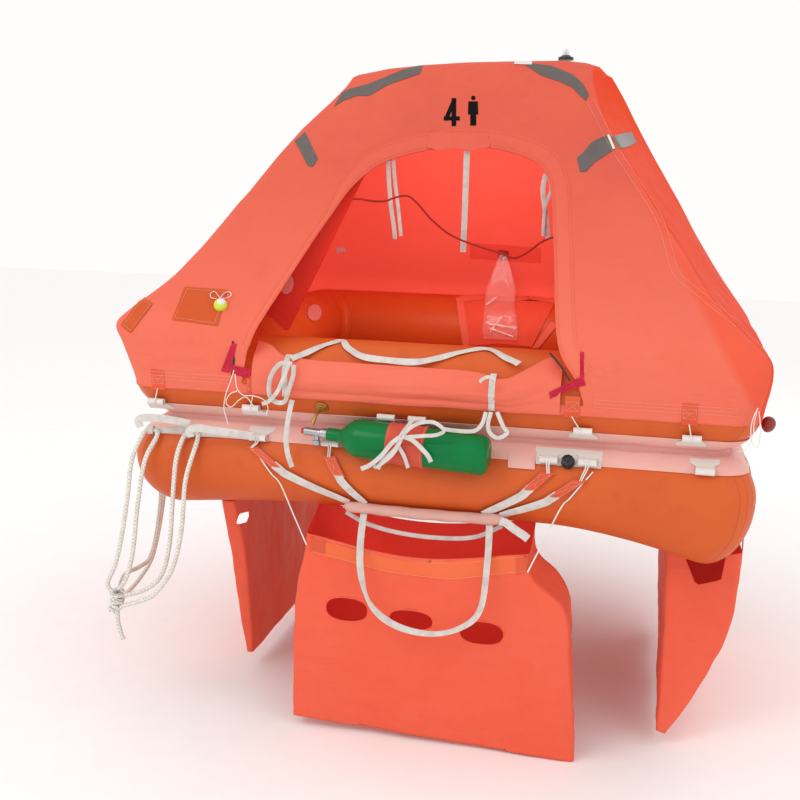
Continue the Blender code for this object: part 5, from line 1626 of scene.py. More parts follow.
FRONT_BAG_ROWS = (
    # z_front, z_back, left_x, right_x, front_y, back_y, back_sag, front_sag, right_drop
    (-0.172, -0.1180, -0.325, 0.300, -0.868, -0.729, 0.034, 0.040, 0.0),
    (-0.215, -0.165, -0.331, 0.301, -0.868, -0.729, 0.024, 0.036, 0.0),
    (-0.255, -0.215, -0.336, 0.322, -0.868, -0.730, 0.012, 0.026, 0.0),
    (-0.330, -0.300, -0.350, 0.400, -0.866, -0.735, 0, 0.008, 0.0),
    (-0.480, -0.470, -0.362, 0.420, -0.860, -0.750, 0, 0, 0.008),
    (-0.620, -0.620, -0.368, 0.435, -0.850, -0.780, 0, 0, 0.018),
    (-0.737, -0.737, -0.368, 0.441, -0.838, -0.805, 0, 0, 0.030),
)
FRONT_BAG_HOLES = (
    # x, z, half_width, half_height
    (-0.205, -0.385, 0.060, 0.034), (-0.020, -0.395, 0.062, 0.028), (0.178, -0.412, 0.060, 0.033),
)
RIGHT_BAG_ROWS = (
    # z_inner, z_outer, inner_x, outer_x, front_y, back_y, end_sag
    (-0.0945, -0.205, 0.655, 0.868, -0.590, 0.360, 0.060),
    (-0.190, -0.300, 0.656, 0.865, -0.605, 0.350, 0.050),
    (-0.330, -0.430, 0.660, 0.850, -0.620, 0.320, 0.030),
    (-0.480, -0.550, 0.664, 0.803, -0.635, 0.280, 0.0),
    (-0.630, -0.650, 0.668, 0.750, -0.655, 0.240, 0.0),
    (-0.725, -0.730, 0.670, 0.688, -0.675, 0.200, 0.0),
)
LEFT_BAG_ROWS = (
    # z_front, z_back, outer_x, inner_x, front_y, back_y
    (-0.160, -0.0945, -0.655, -0.615, -0.670, 0.380),
    (-0.300, -0.280, -0.660, -0.612, -0.600, 0.380),
    (-0.430, -0.420, -0.658, -0.612, -0.560, 0.370),
    (-0.560, -0.560, -0.650, -0.614, -0.530, 0.350),
    (-0.660, -0.660, -0.642, -0.617, -0.510, 0.330),
    (-0.715, -0.715, -0.636, -0.620, -0.500, 0.310),
)
LEFT_BAG_SLIT = (
    # px, py, half_length, half_height, lean
    243, 518, 9.0, 5.5, -0.75,
)


def ballast_bags():
    rings = []
    for row in between_rows(FRONT_BAG_ROWS, 12):
        z_front, z_back, left, right, front, back, back_sag, front_sag, drop = row
        corners = [(left, front, z_front), (right, front, z_front - drop),
                   (right, back, z_back - drop), (left, back, z_back)]
        rings.append(ring_of(corners, (96, 16, 90, 16), (front_sag, 0.0, back_sag, 0.0)))
    made = bag("ballast_pocket_front", "ballast_bag_front", rings, 0.007, FRONT_BAG_HOLES, (-0.90, -0.81), 2.0)
    rings = []
    for z_inner, z_outer, inner, outer, front, back, sag in between_rows(RIGHT_BAG_ROWS, 11):
        corners = [(inner, front, z_inner), (outer, front, z_outer),
                   (outer, back, z_outer), (inner, back, z_inner)]
        rings.append(ring_of(corners, (22, 96, 20, 96), (sag, 0.0, sag, 0.0)))
    made = bag("ballast_pocket_right", "ballast_bag_right", rings, 0.009, seed=7.0)
    rings = []
    for z_front, z_back, outer, inner, front, back in between_rows(LEFT_BAG_ROWS, 11):
        corners = [(outer, front, z_front), (inner, front, z_front),
                   (inner, back, z_back), (outer, back, z_back)]
        rings.append(ring_of(corners, (9, 100, 9, 100), (0.0, 0.0, 0.0, 0.0), 1))
    made = bag("ballast_pocket_left", "ballast_bag_left", rings, 0.007, seed=12.0, slit=LEFT_BAG_SLIT)


ballast_bags()

# Boarding ladder.

LADDER_STRAPS = (
    # name, roll_x, pad_x, pad_angle, end_x, end_angle
    ("left_outer", -0.478, -0.449, 14, -0.212, -38.5),
    ("left_inner", -0.266, -0.250, 10, -0.166, -38.5),
    ("right_inner", 0.334, 0.308, 11, 0.166, -38.5),
    ("right_outer", 0.436, 0.384, 5, 0.214, -38.5),
)
PAD_LENGTH, PAD_W, PAD_LEAN = 0.054, 0.036, 0.75
PAD_REACH = TUBE_R + 0.0065 + 0.002
RUNG_REACH, RUNG_ANGLE, RUNG_HALF_L = TUBE_R + 0.0065 + 0.013, -42, 0.225
FOOT_LOOP = (
    # x, y, z
    (-0.168, -0.8337, -0.107), (-0.162, -0.890, -0.180), (-0.152, -0.915, -0.260), (-0.122, -0.915, -0.345),
    (-0.052, -0.915, -0.395), (0.047, -0.915, -0.408), (0.130, -0.915, -0.380), (0.180, -0.915, -0.320),
    (0.190, -0.890, -0.190), (0.184, -0.8337, -0.107),
)


def boarding_ladder():
    body = "boarding_ladder"
    lines = []
    for name, roll_x, pad_x, pad_angle, end_x, end_angle in LADDER_STRAPS:
        lean = PAD_LEAN * (end_x - pad_x) / (end_angle - pad_angle)
        half = math.degrees(PAD_LENGTH / 2 / TUBE_R)
        grid = []
        for r in range(10):
            turn = -half + 2 * half * r / 9
            row = []
            for c in range(9):
                u = (c / 8 - 0.5) * PAD_W
                tilt = math.degrees(u * lean * 20 / TUBE_R) * 0.3
                bulge = 0.0018 * (1 - (c / 4 - 1) ** 4) * (1 - (r / 4.5 - 1) ** 4)
                x, angle = pad_x + lean * turn + u, pad_angle + turn - tilt
                row.append(tuple(front_point(x, PAD_REACH + bulge, angle, 0.0)))
            grid.append(row)
        solid_sheet("ladder_tab_" + name, grid, 0.0032, red_patch_look, body=body,
                    stands_for=("ladder_pad_" + name,), slot="pad_red")
        lines += cross_lines(grid, 0.0009, 0.14)
        top_x = pad_x + lean * half
        for k, off in enumerate((-0.006, 0.006)):
            roll = front_point(roll_x + off * 0.8, ROLL_REACH + ROLL_R + 0.0012, ROLL_ANGLE - 1, 0.0)
            over = front_point(roll_x + off * 0.5, ROLL_REACH + 0.003, ROLL_ANGLE - 6.2, 0.0)
            end = front_point(top_x + off * 0.4, PAD_REACH + 0.001, pad_angle + half - 1.5, 0.0)
            back = front_point(roll_x + off * 0.8, ROLL_REACH + ROLL_R * 0.4, ROLL_ANGLE + 5.5, 0.0)
            lacing = [back, roll, over, over.lerp(end, 0.6), end]
            cord_loop("ladder_lacing_%s_%d" % (name, k), lacing, 0.0017, body=body)
        start = -half - 0.3
        route = [(pad_x + lean * turn, pad_angle + turn, PAD_REACH) for turn in (start + 6, start, start - 5)]
        start_x, start_angle, _ = route[-1]
        for part in (0.4, 0.75):
            angle = start_angle + (end_angle - start_angle) * part
            route.append((start_x + (end_x - start_x) * part, angle, PAD_REACH))
        route.append((end_x, end_angle, PAD_REACH + 0.003))
        path, facing = tube_route(route, 0.0, 8)
        strap("ladder_web_" + name, path, facing, 0.023, web_look, 0.0017, body=body,
              stands_for=("ladder_strap_" + name,), slot="webbing_white")
    stitches("ladder_stitches", lines, body=body)
    count, sides = 70, 20
    left = front_point(-RUNG_HALF_L, RUNG_REACH, RUNG_ANGLE, 0.0)
    right = front_point(RUNG_HALF_L, RUNG_REACH, RUNG_ANGLE, 0.0)
    points, uvs = [], []
    for k in range(count):
        part = k / (count - 1)
        end = min(part, 1 - part) * 2
        fat = min(1.0, (end / 0.08)) ** 0.5
        radius = 0.0035 + 0.0115 * fat
        flat = 1.25 - 0.25 * fat
        centre = left.lerp(right, part) + Vector((0, 0, -0.004 * math.sin(math.pi * part)))
        for j in range(sides):
            turn = math.tau * j / sides
            fold = 0.0010 * noise.noise(Vector((part * 9, math.cos(turn), math.sin(turn))))
            wide = radius + fold + 0.0006 * math.sin(3 * turn + part * 30)
            points.append(centre + Vector((0, math.cos(turn) * wide / flat, math.sin(turn) * wide * flat)))
            uvs.append((radius * turn, part * 2 * RUNG_HALF_L))
    made = add_piece("ladder_rung_padding", points, tube_faces(count, sides), rung_look, body=body, uvs=uvs,
                     stands_for=("ladder_rung",), slot="band_pink", sharp=60)
    path = smooth_route(FOOT_LOOP, 10)
    facing = []
    for k in range(len(path)):
        part = k / (len(path) - 1)
        facing.append(Vector((0.55 * math.sin(part * math.tau), -1, 0.15 + 0.5 * math.sin(part * math.pi))))
    strap("foot_loop_web", path, facing, 0.019, web_look, 0.0018, body=body, stands_for=("ladder_foot_loop",),
          slot="webbing_white", widths=lambda part: 1.0 - 0.45 * math.exp(-((part - 0.30) / 0.05) ** 2)
          - 0.25 * math.exp(-((part - 0.60) / 0.10) ** 2))
    low = RUNG_ANGLE - 7
    path, facing = tube_route([(-0.225, RUNG_ANGLE + 1, RUNG_REACH + 0.004), (-0.190, low, RUNG_REACH - 0.004),
                               (-0.090, low - 3, RUNG_REACH - 0.006), (0.090, low - 3, RUNG_REACH - 0.006),
                               (0.190, low, RUNG_REACH - 0.003), (0.226, RUNG_ANGLE, RUNG_REACH + 0.004)], 0.0, 8)
    strap("rung_under_web", path, facing, 0.012, web_look, 0.0014, body=body)
    for name, x in (("left", -0.176), ("right", 0.190)):
        ring = []
        centre = front_point(x, RUNG_REACH, RUNG_ANGLE, 0.0)
        for k in range(41):
            turn = math.tau * 2.2 * k / 40
            spoke = Vector((0.012 * (k / 40 - 0.5), math.cos(turn) * 0.0105, math.sin(turn) * 0.0105))
            ring.append(centre + spoke)
        facing = [p - Vector((p.x, centre.y, centre.z)) for p in ring]
        strap("rung_knot_" + name, ring, facing, 0.013, web_look, 0.0022, body=body)
    pixel_strap("rung_back_web", (
        (346, 512, -0.815), (368, 524, -0.812), (400, 533, -0.808), (440, 538, -0.806), (475, 537, -0.808),
        (502, 526, -0.815),
    ), 0.012, facing=(0, -1, 0.2), body=body)
    pixel_strap("rung_knot_tail", (
        (500, 521, -0.846), (506, 523, -0.852), (514, 529, -0.856), (523, 535, -0.856), (528, 539, -0.853),
    ), 0.022, facing=(0.3, -1, 0.3), body=body)


rung_look = coated_fabric("rung_fabric", (214, 166, 154), (200, 146, 134), 0.55)
boarding_ladder()

# Bag cords and strap.

BAG_STRAP_Y = -0.560
BAG_STRAP_DROP = (
    # x, z
    (0.8738, -0.060), (0.8702, -0.130), (0.8695, -0.215), (0.8692, -0.245),
)


def bag_holders():
    for name, roll_x, bag_x in (("left", -0.494, -0.322), ("right", 0.452, 0.296)):
        run = bag_x - roll_x
        route = [front_point(roll_x + run * part, TUBE_R + 0.004, angle, 0.0) for part, angle in
                 ((0.0, 29), (0.18, 12), (0.36, -6), (0.5, -20))]
        end = Vector((bag_x, -0.8707, -0.205 if name == "left" else -0.222))
        route += [route[-1].lerp(end, 0.5), end]
        path = smooth_route(route, 8)
        made = rod("bag_tie_" + name, path, 0.0021, cord_look, sides=10, stands_for=("bag_cord_" + name,),
                   slot="webbing_white")
    path = [side_point("right", BAG_STRAP_Y, TUBE_R + 0.0013, angle, 0.0) for angle in (36, 28, 20, 10, 0)]
    facing = [place - Vector((HALF_X, BAG_STRAP_Y, 0)) for place in path]
    drop = [Vector((x, BAG_STRAP_Y, z)) for x, z in BAG_STRAP_DROP]
    path += drop
    facing += [Vector((1, 0, 0))] * len(drop)
    strap("bag_strap_web", smooth_route(path, 4), smooth_route(facing, 4), 0.024, tan_web_look, 0.0017,
          stands_for=("bag_strap_right",), slot="label_orange")


bag_holders()

# Gas cylinder.

CYLINDER_R = 0.0535
STRAP_BAND_W = 0.104
CYLINDER_LEFT, CYLINDER_RIGHT = Vector((-0.226, -0.8685, 0.1138)), Vector((0.182, -0.8840, 0.0918))


def arc_rows(centre, radius, first, last, steps):
    """Profile rows on an arc: distance along the axis and radius."""
    rows = []
    for k in range(steps + 1):
        turn = math.radians(first + (last - first) * k / steps)
        rows.append((centre[0] + radius * math.cos(turn), centre[1] + radius * math.sin(turn)))
    return rows


def gas_cylinder():
    axis = CYLINDER_RIGHT - CYLINDER_LEFT
    length = axis.length
    axis = axis.normalized()
    profile = [(-0.040, 0.012), (-0.040, 0.0170), (-0.038, 0.0178), (-0.014, 0.0178), (-0.010, 0.0175),
               (-0.004, 0.0185), (0.002, 0.0215), (0.010, 0.0300), (0.020, 0.0395), (0.030, 0.0460),
               (0.040, 0.0502), (0.050, 0.0525), (0.060, CYLINDER_R), (0.12, CYLINDER_R), (0.24, CYLINDER_R),
               (0.36, CYLINDER_R)]
    round_end = 0.022
    profile += arc_rows((length - round_end, CYLINDER_R - round_end), round_end, 90, 8, 8)
    profile += [(length - 0.001, 0.026), (length - 0.004, 0.020), (length - 0.004, 0.004)]
    lathe("cylinder_shell", CYLINDER_LEFT, axis, profile, cylinder_look, 72, stands_for=("gas_cylinder",),
          slot="cylinder_green")
    start = CYLINDER_LEFT - axis * 0.0403
    valve = [(0.0, 0.010), (0.0, 0.0138), (-0.002, 0.0142), (-0.018, 0.0142), (-0.020, 0.0118), (-0.024, 0.0112)]
    for k in range(7):
        groove = -0.0250 - 0.0055 * k
        valve += [(groove, 0.0112), (groove - 0.0012, 0.0106),
                  (groove - 0.0032, 0.0106), (groove - 0.0044, 0.0112)]
    valve += [(-0.0655, 0.0108), (-0.0670, 0.0090), (-0.0680, 0.0050)]
    lathe("valve_body", start, axis, valve, steel_look, 40, stands_for=("cylinder_valve",), slot="steel")
    cap = [(-0.0672, 0.0060), (-0.0674, 0.0080), (-0.0730, 0.0080), (-0.0748, 0.0068), (-0.0756, 0.0030)]
    lathe("valve_cap", start, axis, cap, red_cap_look, 28)
    hub = start - axis * 0.030
    up = Vector((0, 0.1, 1)).normalized()
    branch = [(0.004, 0.004), (0.004, 0.0075), (0.020, 0.0075), (0.022, 0.0110), (0.034, 0.0110), (0.036, 0.0085),
              (0.038, 0.0040)]
    lathe("valve_branch", hub, -up, branch, steel_look, 30)
    nut = [(0.0, 0.0112), (0.001, 0.0120), (0.010, 0.0120), (0.011, 0.0112)]
    lathe("valve_nut", hub - up * 0.022, -up, nut, steel_look, 6)
    middle = CYLINDER_LEFT + axis * (length * 0.46)
    across, other = square_to(axis)
    rings = []
    for k in range(96):
        turn = math.tau * k / 96
        out = around(across, other, turn)
        ring = []
        for c in range(13):
            u = (c / 12 - 0.5) * STRAP_BAND_W + 0.0016 * noise.noise(Vector((turn, c, 0.5)))
            lift = 0.0008 + 0.0012 * abs(noise.noise(Vector((math.cos(turn) * 2, math.sin(turn) * 2, c * 0.35))))
            ring.append(middle + axis * u + out * (CYLINDER_R + 0.0012 + lift))
        low = [middle + axis * ((c / 12 - 0.5) * STRAP_BAND_W) + out * (CYLINDER_R + 0.0003)
               for c in range(12, -1, -1)]
        rings.append([tuple(p) for p in ring + low])
    rings = np.array(rings)
    faces = grid_faces(*rings.shape[:2], closed_rows=True, closed_cols=True)
    add_piece("cylinder_band", rings.reshape(-1, 3), faces, strap_band_look, uvs=grid_uvs(rings).reshape(-1, 2),
              stands_for=("cylinder_strap",), slot="pad_red", sharp=60)
    lines = []
    for u in (-0.047, 0.047):
        lines.append([middle + axis * u + around(across, other, math.tau * k / 24) * (CYLINDER_R + 0.0034)
                      for k in range(25)])
    stitches("cylinder_band_stitches", lines)


strap_band_look = coated_fabric("strap_fabric", (206, 88, 68), (186, 70, 54), 0.55)
gas_cylinder()


def cylinder_bow():
    centre = (402, 436, -0.945)
    pixel_strap("bow_wrap", (
        (414, 418, -0.922), (408, 426, -0.938), (402, 434, -0.944), (398, 444, -0.946), (404, 456, -0.944),
        (408, 468, -0.936),
    ), 0.010, facing=(0.1, -1, 0.2))
    pixel_strap("bow_loop_upper", (
        centre, (410, 428, -0.948), (420, 423, -0.952), (432, 422, -0.954), (440, 426, -0.953), (444, 431, -0.951),
        (436, 435, -0.950), (422, 436, -0.949), (408, 437, -0.947),
    ), 0.010, facing=(0.15, -1, 0.35), steps=6)
    pixel_strap("bow_loop_lower", (
        centre, (398, 446, -0.948), (391, 456, -0.950), (381, 464, -0.949), (376, 467, -0.947), (374, 465, -0.946),
    ), 0.010, facing=(-0.1, -1, 0.2), steps=6)
    pixel_strap("bow_tail_left", (
        centre, (392, 443, -0.950), (381, 456, -0.952), (370, 465, -0.952), (361, 469, -0.950),
    ), 0.012, facing=(-0.2, -1, 0.1))
    pixel_strap("bow_tail_middle", (
        (402, 438, -0.947), (394, 450, -0.949), (383, 460, -0.949), (378, 469, -0.947),
    ), 0.010, facing=(-0.2, -1, 0.1))
    pixel_strap("bow_tail_right", (
        centre, (412, 440, -0.949), (421, 448, -0.950), (428, 456, -0.949), (431, 462, -0.947),
    ), 0.012, facing=(0.25, -1, 0.1))
    ring = []
    knot = at_y(*centre)
    for k in range(25):
        turn = math.tau * k / 24
        x, y, z = 0.006 * math.cos(turn), -0.002 + 0.004 * math.sin(turn), 0.007 * math.sin(turn + 0.6)
        ring.append(knot + Vector((x, y, z)))
    rod("bow_knot", ring, 0.0035, web_look, sides=10)


cylinder_bow()

# Small fittings.

def fittings():
    seat = front_point(-0.293, TUBE_R + 0.0006, -29, UPPER_Z)
    out = outward("front", -29)
    flange = [(0.0, 0.0192), (0.0022, 0.0192), (0.0034, 0.0178), (0.0036, 0.0130), (0.0060, 0.0122),
              (0.0070, 0.0088), (0.0115, 0.0084), (0.0120, 0.0040)]
    lathe("inlet_flange", seat, out, flange, brass_look, 40, stands_for=("inflation_inlet",), slot="brass")
    stem = at_y(316, 415, -0.868)
    foot = at_y(312, 425, -0.880)
    rod("inlet_stem", [seat + out * 0.008, stem, stem.lerp(foot, 0.5), foot], 0.0048, brass_look, sides=20,
        profile=lambda part: 1.15 if 0.40 < part < 0.72 else 0.85)
    seat = front_point(0.385, TUBE_R + 0.0026, 38, 0.0)
    out = outward("front", 38)
    base = [(0.0, 0.0175), (0.0040, 0.0178), (0.0052, 0.0165), (0.0060, 0.0150), (0.0150, 0.0150),
            (0.0170, 0.0162), (0.0205, 0.0160), (0.0222, 0.0140), (0.0225, 0.0105), (0.0205, 0.0095),
            (0.0205, 0.0045), (0.0235, 0.0040), (0.0240, 0.0015)]
    lathe("relief_valve_cap", seat, out, base, black_look, 40, stands_for=("relief_valve",),
          slot="black_plastic")
    side, across = square_to(out)
    for k in range(10):
        spoke = around(side, across, math.tau * k / 10)
        rib = [seat + spoke * wide + out * high
               for wide, high in ((0.0158, 0.006), (0.0166, 0.013), (0.0158, 0.0200))]
        rod("relief_rib_%d" % k, rib, 0.0016, black_look, sides=8)
    grid = []
    for r in range(7):
        row = []
        for c in range(21):
            reach = TUBE_R + 0.0034 + 0.0007 * noise.noise(Vector((c * 0.4, r, 0)))
            row.append(tuple(front_point(0.300 + 0.172 * c / 20, reach, 60 - 26 * r / 6, 0.0)))
        grid.append(row)
    solid_sheet("relief_valve_patch", grid[::-1], 0.0008, white_look)
    base = Vector((0.262, ARCH_Y + 0.02, RIDGE_Z + 0.038 + 0.0003))
    foot = [(0, 0.0240), (0.004, 0.0244), (0.008, 0.0236), (0.0100, 0.0205), (0.0110, 0.0150),
            (0.0140, 0.0140), (0.0142, 0.0040)]
    lathe("light_base", base, (0, 0, 1), foot, black_look, 48, stands_for=("top_light_base",),
          slot="black_plastic")
    above = base + Vector((0, 0, 0.0143))
    dome = [(0.0, 0.0112), (0.006, 0.0112)]
    dome += [(0.006 + 0.0145 * math.sin(t), 0.0112 * math.cos(t)) for t in (0.2, 0.4, 0.6, 0.8, 1.0, 1.2, 1.4)]
    lathe("light_dome", above, (0, 0, 1), dome, dome_look, 40, stands_for=("top_light_dome",),
          slot="clear_plastic")
    filament = [(0.0, 0.004), (0.006, 0.0042), (0.009, 0.0030), (0.0105, 0.0008)]
    lathe("light_filament", above, (0, 0, 1), filament, steel_look, 20)
    place, axis = Vector((0.8905, -0.735, 0.196)), Vector((0.0, -0.75, 0.66))
    shape = [(-0.030, 0.0030), (-0.027, 0.0064), (-0.022, 0.0098), (-0.015, 0.0134), (-0.008, 0.0160),
             (0.000, 0.0179), (0.008, 0.0184), (0.015, 0.0172), (0.021, 0.0146), (0.0255, 0.0102),
             (0.0275, 0.0050)]
    lathe("quoit_float", place, axis, shape, dark_red_look, 44, stands_for=("rescue_quoit",), slot="quoit_red")


fittings()

# Spares bag.

SPARES_ROWS = (
    # z, left_x, right_x, front_y, back_y
    (0.205, -0.062, 0.072, 0.590, 0.6140), (0.240, -0.068, 0.077, 0.582, 0.6090),
    (0.300, -0.065, 0.068, 0.590, 0.6240), (0.345, -0.068, 0.055, 0.616, 0.6660),
    (0.400, -0.066, 0.050, 0.655, 0.7010), (0.460, -0.050, 0.030, 0.682, 0.712),
    (0.533, -0.024, 0.002, 0.704, 0.714),
)


def spares_bag():
    rings = []
    for z, left, right, front, back in between_rows(SPARES_ROWS, 9):
        corners = [(left, front, z), (right, front, z), (right, back, z), (left, back, z)]
        rings.append(ring_of(corners, (26, 6, 26, 6), (0, 0, 0, 0), 3))
    grid = np.array(rings)
    rows, cols = grid.shape[:2]
    flat = grid.reshape(-1, 3)
    crease = bumps(flat, 60.0, 4.0) * 0.0045 + bumps(flat * (1, 1, 0.4), 26.0, 9.0) * 0.0045
    narrow = np.repeat(np.clip(np.linspace(1.25, 0.12, rows), 0, 1), cols)
    grid = displaced(grid, (np.abs(crease) - 0.0035) * narrow, closed_cols=True)
    add_piece("spares_film", grid.reshape(-1, 3), tube_faces(rows, cols), clear_look, stands_for=("spares_bag",),
              slot="clear_plastic", sharp=80)
    SKINS["spares"] = bvh_of(grid, closed_cols=True)


spares_bag()

# Tapes, marks, labels and seams on the canopy.

TAPES = {
    "tape_upper_left": (((334, 107), (343, 101), (357, 96), (369, 96), (388, 85), (420, 74)),
                        ((342, 93), (350, 89), (369, 84), (386, 77), (403, 70), (423, 65))),
    "tape_left": (((308, 166), (313, 167), (318, 159)), ((295, 141), (300, 137), (305, 132))),
    "tape_upper_right": (((525, 65), (542, 76), (560, 82), (573, 88), (578, 94), (586, 101)),
                         ((534, 64), (551, 66), (562, 70), (573, 75), (583, 84), (589, 95))),
    "tape_right": (((580, 172), (586, 172), (594, 163), (603, 157), (615, 149)),
                   ((577, 158), (584, 152), (591, 143), (600, 138), (608, 135))),
    "tape_right_end": (((619, 149), (628, 147), (636, 143)), ((611, 137), (621, 134), (631, 132))),
}
DIGIT = {
    "digit_slope": (((443.8, 119.5), (447.5, 121.0)), ((452.6, 98.6), (456.4, 99.6))),
    "digit_bar": (((443.8, 120.6), (459.8, 120.6)), ((443.8, 116.6), (459.8, 116.6))),
    "digit_post": (((451.6, 126.2), (456.2, 126.2)), ((451.6, 98.3), (456.2, 98.3))),
    "person_body": (((468.0, 114.6), (478.3, 114.6)), ((468.4, 101.6), (477.8, 101.6))),
    "person_legs": (((470.3, 125.7), (476.2, 125.7)), ((470.3, 113.6), (476.2, 113.6))),
}
HIP_FOLD = (
    (590, 101), (599, 118), (607, 134), (615, 149), (637, 183), (658, 217), (668, 246), (675, 271), (686, 283),
    (698, 293), (720, 311), (738, 325),
)


def pixel_line(line, steps, skins=("canopy",), past=None, lift=0.0018, shift=(0, 0)):
    """Places on a surface along a line of pixels."""
    made = [near_seen(p.x + shift[0], p.y + shift[1], skins, past, lift) for p in pixel_route(line, steps)]
    return [found[0] for found in made if found]


def canopy_marks():
    for name, (low, high) in TAPES.items():
        lined_patch(name, low, high, tape_look, lift=0.0018, back=True)
    # Painted highlights: a thin white streak on the upper tape and a white line along the fold at the right hip.
    for name, low, high in (("tape_painted_glint", ((514, 64.5), (532, 65)), ((515, 61.5), (532, 62))),
                            ("tape_fold_painted_highlight", ((607, 136), (613, 150)), ((609, 135), (615, 149)))):
        lined_patch(name, low, high, white_look, lift=0.0030, cells=(8, 3))
    for name, (low, high) in DIGIT.items():
        lined_patch(name, low, high, ink_look, lift=0.0012, cells=(6, 8))
    round_patch("person_head", 473.3, 98.1, 2.2, 2.2, ink_look, lift=0.0012)
    patch("label_front", ((172, 320), (218, 326), (228, 290), (185, 287)), label_look, lift=0.0018)
    lined_patch("label_side", ((121, 325), (125, 329), (131, 333)), ((142, 298), (147, 300), (153, 304)),
                label_look, lift=0.0024, cells=(10, 14))
    lines = []
    for corners in (((175, 318), (215, 323.5), (225, 292.5), (187.5, 289.5)),
                    ((124, 325), (131, 330), (151, 305), (143, 300))):
        for (ax, ay), (bx, by) in zip(corners, corners[1:] + corners[:1]):
            lines.append([near_seen(ax + (bx - ax) * k / 8, ay + (by - ay) * k / 8, ("canopy",), None, 0.0030)[0]
                          for k in range(9)])
    stitches("label_stitches", lines, pitch=0.0050)
    place, out = near_seen(221, 306, ("canopy",), None, 0.0)
    ball = [(-0.006, 0.0135)]
    ball += [(0.019 * math.sin(t), 0.019 * math.cos(t)) for t in (-0.2, 0.0, 0.2, 0.45, 0.7, 0.95, 1.2, 1.4, 1.52)]
    lathe("signal_ball", place + out * 0.004, out, ball, ball_look, 32)
    cap = [(0.0195 * math.sin(t), 0.0195 * math.cos(t)) for t in (0.95, 1.1, 1.3, 1.5)]
    lathe("signal_ball_cap", place + out * 0.004, out.lerp(Vector((0.5, -0.4, 0.6)), 0.6), cap, white_look, 32)
    bow = pixel_line((
        (217, 300), (212, 299), (211, 295), (215, 293), (219, 297), (221, 299), (224, 295), (229, 293),
        (232, 296), (228, 299), (223, 300),
    ), 5, lift=0.0060)
    rod("signal_ball_bow", bow, 0.0010, cord_look, sides=8)
    for k, shift in enumerate(((-3.2, 1.2), (3.0, -1.2))):
        stitches("hip_stitches_%d" % k, [pixel_line(HIP_FOLD, 6, shift=shift, lift=0.0016)], pitch=0.0055)


ENTRANCE_HEM_X = (-0.545, 0.44)


def hem_stitching():
    """Rows of stitches round the canopy above its hem, left out across the entrance."""
    lines = []
    for z in (0.236, 0.246, 0.256):
        for side, half in (("front", 0.80), ("right", 0.78), ("back", 0.80), ("left", 0.78)):
            line = []
            for k in range(91):
                along = -half + 2 * half * k / 90
                if side == "front" and ENTRANCE_HEM_X[0] < along < ENTRANCE_HEM_X[1]:
                    if len(line) > 3:
                        lines.append(line)
                    line = []
                    continue
                line.append(hem_place(side, along, z, 0.0012))
            lines.append(line)
    stitches("hem_stitching", [line for line in lines if len(line) > 3], pitch=0.0065)


def entrance_edge():
    """The sewn band round the entrance, gathered along its top, and its rolled edge."""
    line = resample([(x, z, 0) for x, z in ENTRANCE[2:-2]], 230)
    middle = Vector((-0.03, 0.55, 0))
    rows, rolled, run = [[] for _ in range(9)], [], 0.0
    for k, place in enumerate(line):
        ahead = (line[min(k + 1, len(line) - 1)] - line[max(k - 1, 0)]).normalized()
        side = Vector((ahead.y, -ahead.x, 0))
        if side.dot(place - middle) < 0:
            side = -side
        run += (place - line[max(k - 1, 0)]).length
        top = max(0.0, min(1.0, (place.y - 0.70) / 0.12))
        width = 0.018 + 0.034 * top + (0.030 if place.x > 0.1 else 0.0) * (1 - top)
        for r in range(9):
            part = r / 8
            flat = place + side * (width * part + 0.0005)
            start = Vector((flat.x, BEFORE_ALL_Y, flat.y))
            hit, normal, _, _ = SKINS["canopy"].ray_cast(start, Vector((0, 1, 0)))
            if hit is None:
                hit, normal = Vector((flat.x, -0.3, flat.y)), Vector((0, -1, 0))
            normal = normal if normal.y < 0 else -normal
            gather = abs(math.sin(run * math.tau / 0.034 + 2.0 * noise.noise(Vector((run * 9, 0, 0)))))
            swell = math.sin(part * math.pi) ** 0.6
            lift = 0.0012 + swell * (0.0002 + top * 0.0050 * gather * (1.15 - part))
            lift += 0.0006 * noise.noise(flat * 60)
            rows[r].append(tuple(hit + normal * max(lift, 0.0011)))
            if r == 0:
                rolled.append(hit + normal * 0.0012)
    grid = np.array(rows)
    if grid_normals(grid)[4, 115, 1] > 0:
        grid = grid[::-1]
    solid_sheet("entrance_band", grid, 0.0009, edge_look)
    rod("entrance_roll", rolled, 0.0017, edge_look, sides=8,
        profile=lambda part: 1.0 + 0.14 * math.sin(part * 160))
    rows = raised(grid, 0.0006)
    stitches("entrance_stitches", [rows[1], rows[-2]], edge_look, pitch=0.0055)
    lined_patch("entrance_flap", ((427, 149), (440, 152), (458, 150), (474, 152), (490, 148)),
                ((430, 136), (444, 134), (460, 135), (474, 134), (488, 137)), edge_look, lift=0.0062,
                cells=(30, 8), ripple=0.005)


# Painted shade and light: like the canopy, the entrance band is darker towards the top, and it glows faintly.
edge_look = coated_fabric("edge_fabric", (229, 113, 91), (222, 101, 76), 0.6, 0.05, painted_top_shade=(214, 92, 75))
canopy_marks()
hem_stitching()
entrance_edge()

# Inside: what hangs in the cabin.

DARK_CORD_LEFT, DARK_CORD_RIGHT = (353, 199), (557, 236)
DARK_CORD = (
    (360, 199), (372, 201), (385, 201), (397, 197), (408, 196), (417, 203), (424, 211), (431, 219), (446, 232),
    (461, 240), (475, 245), (487, 249), (500, 253), (513, 258), (523, 255), (532, 249), (540, 243), (548, 239),
)
CABIN = ("canopy", "upper")
CABIN_FROM_Y = -0.10


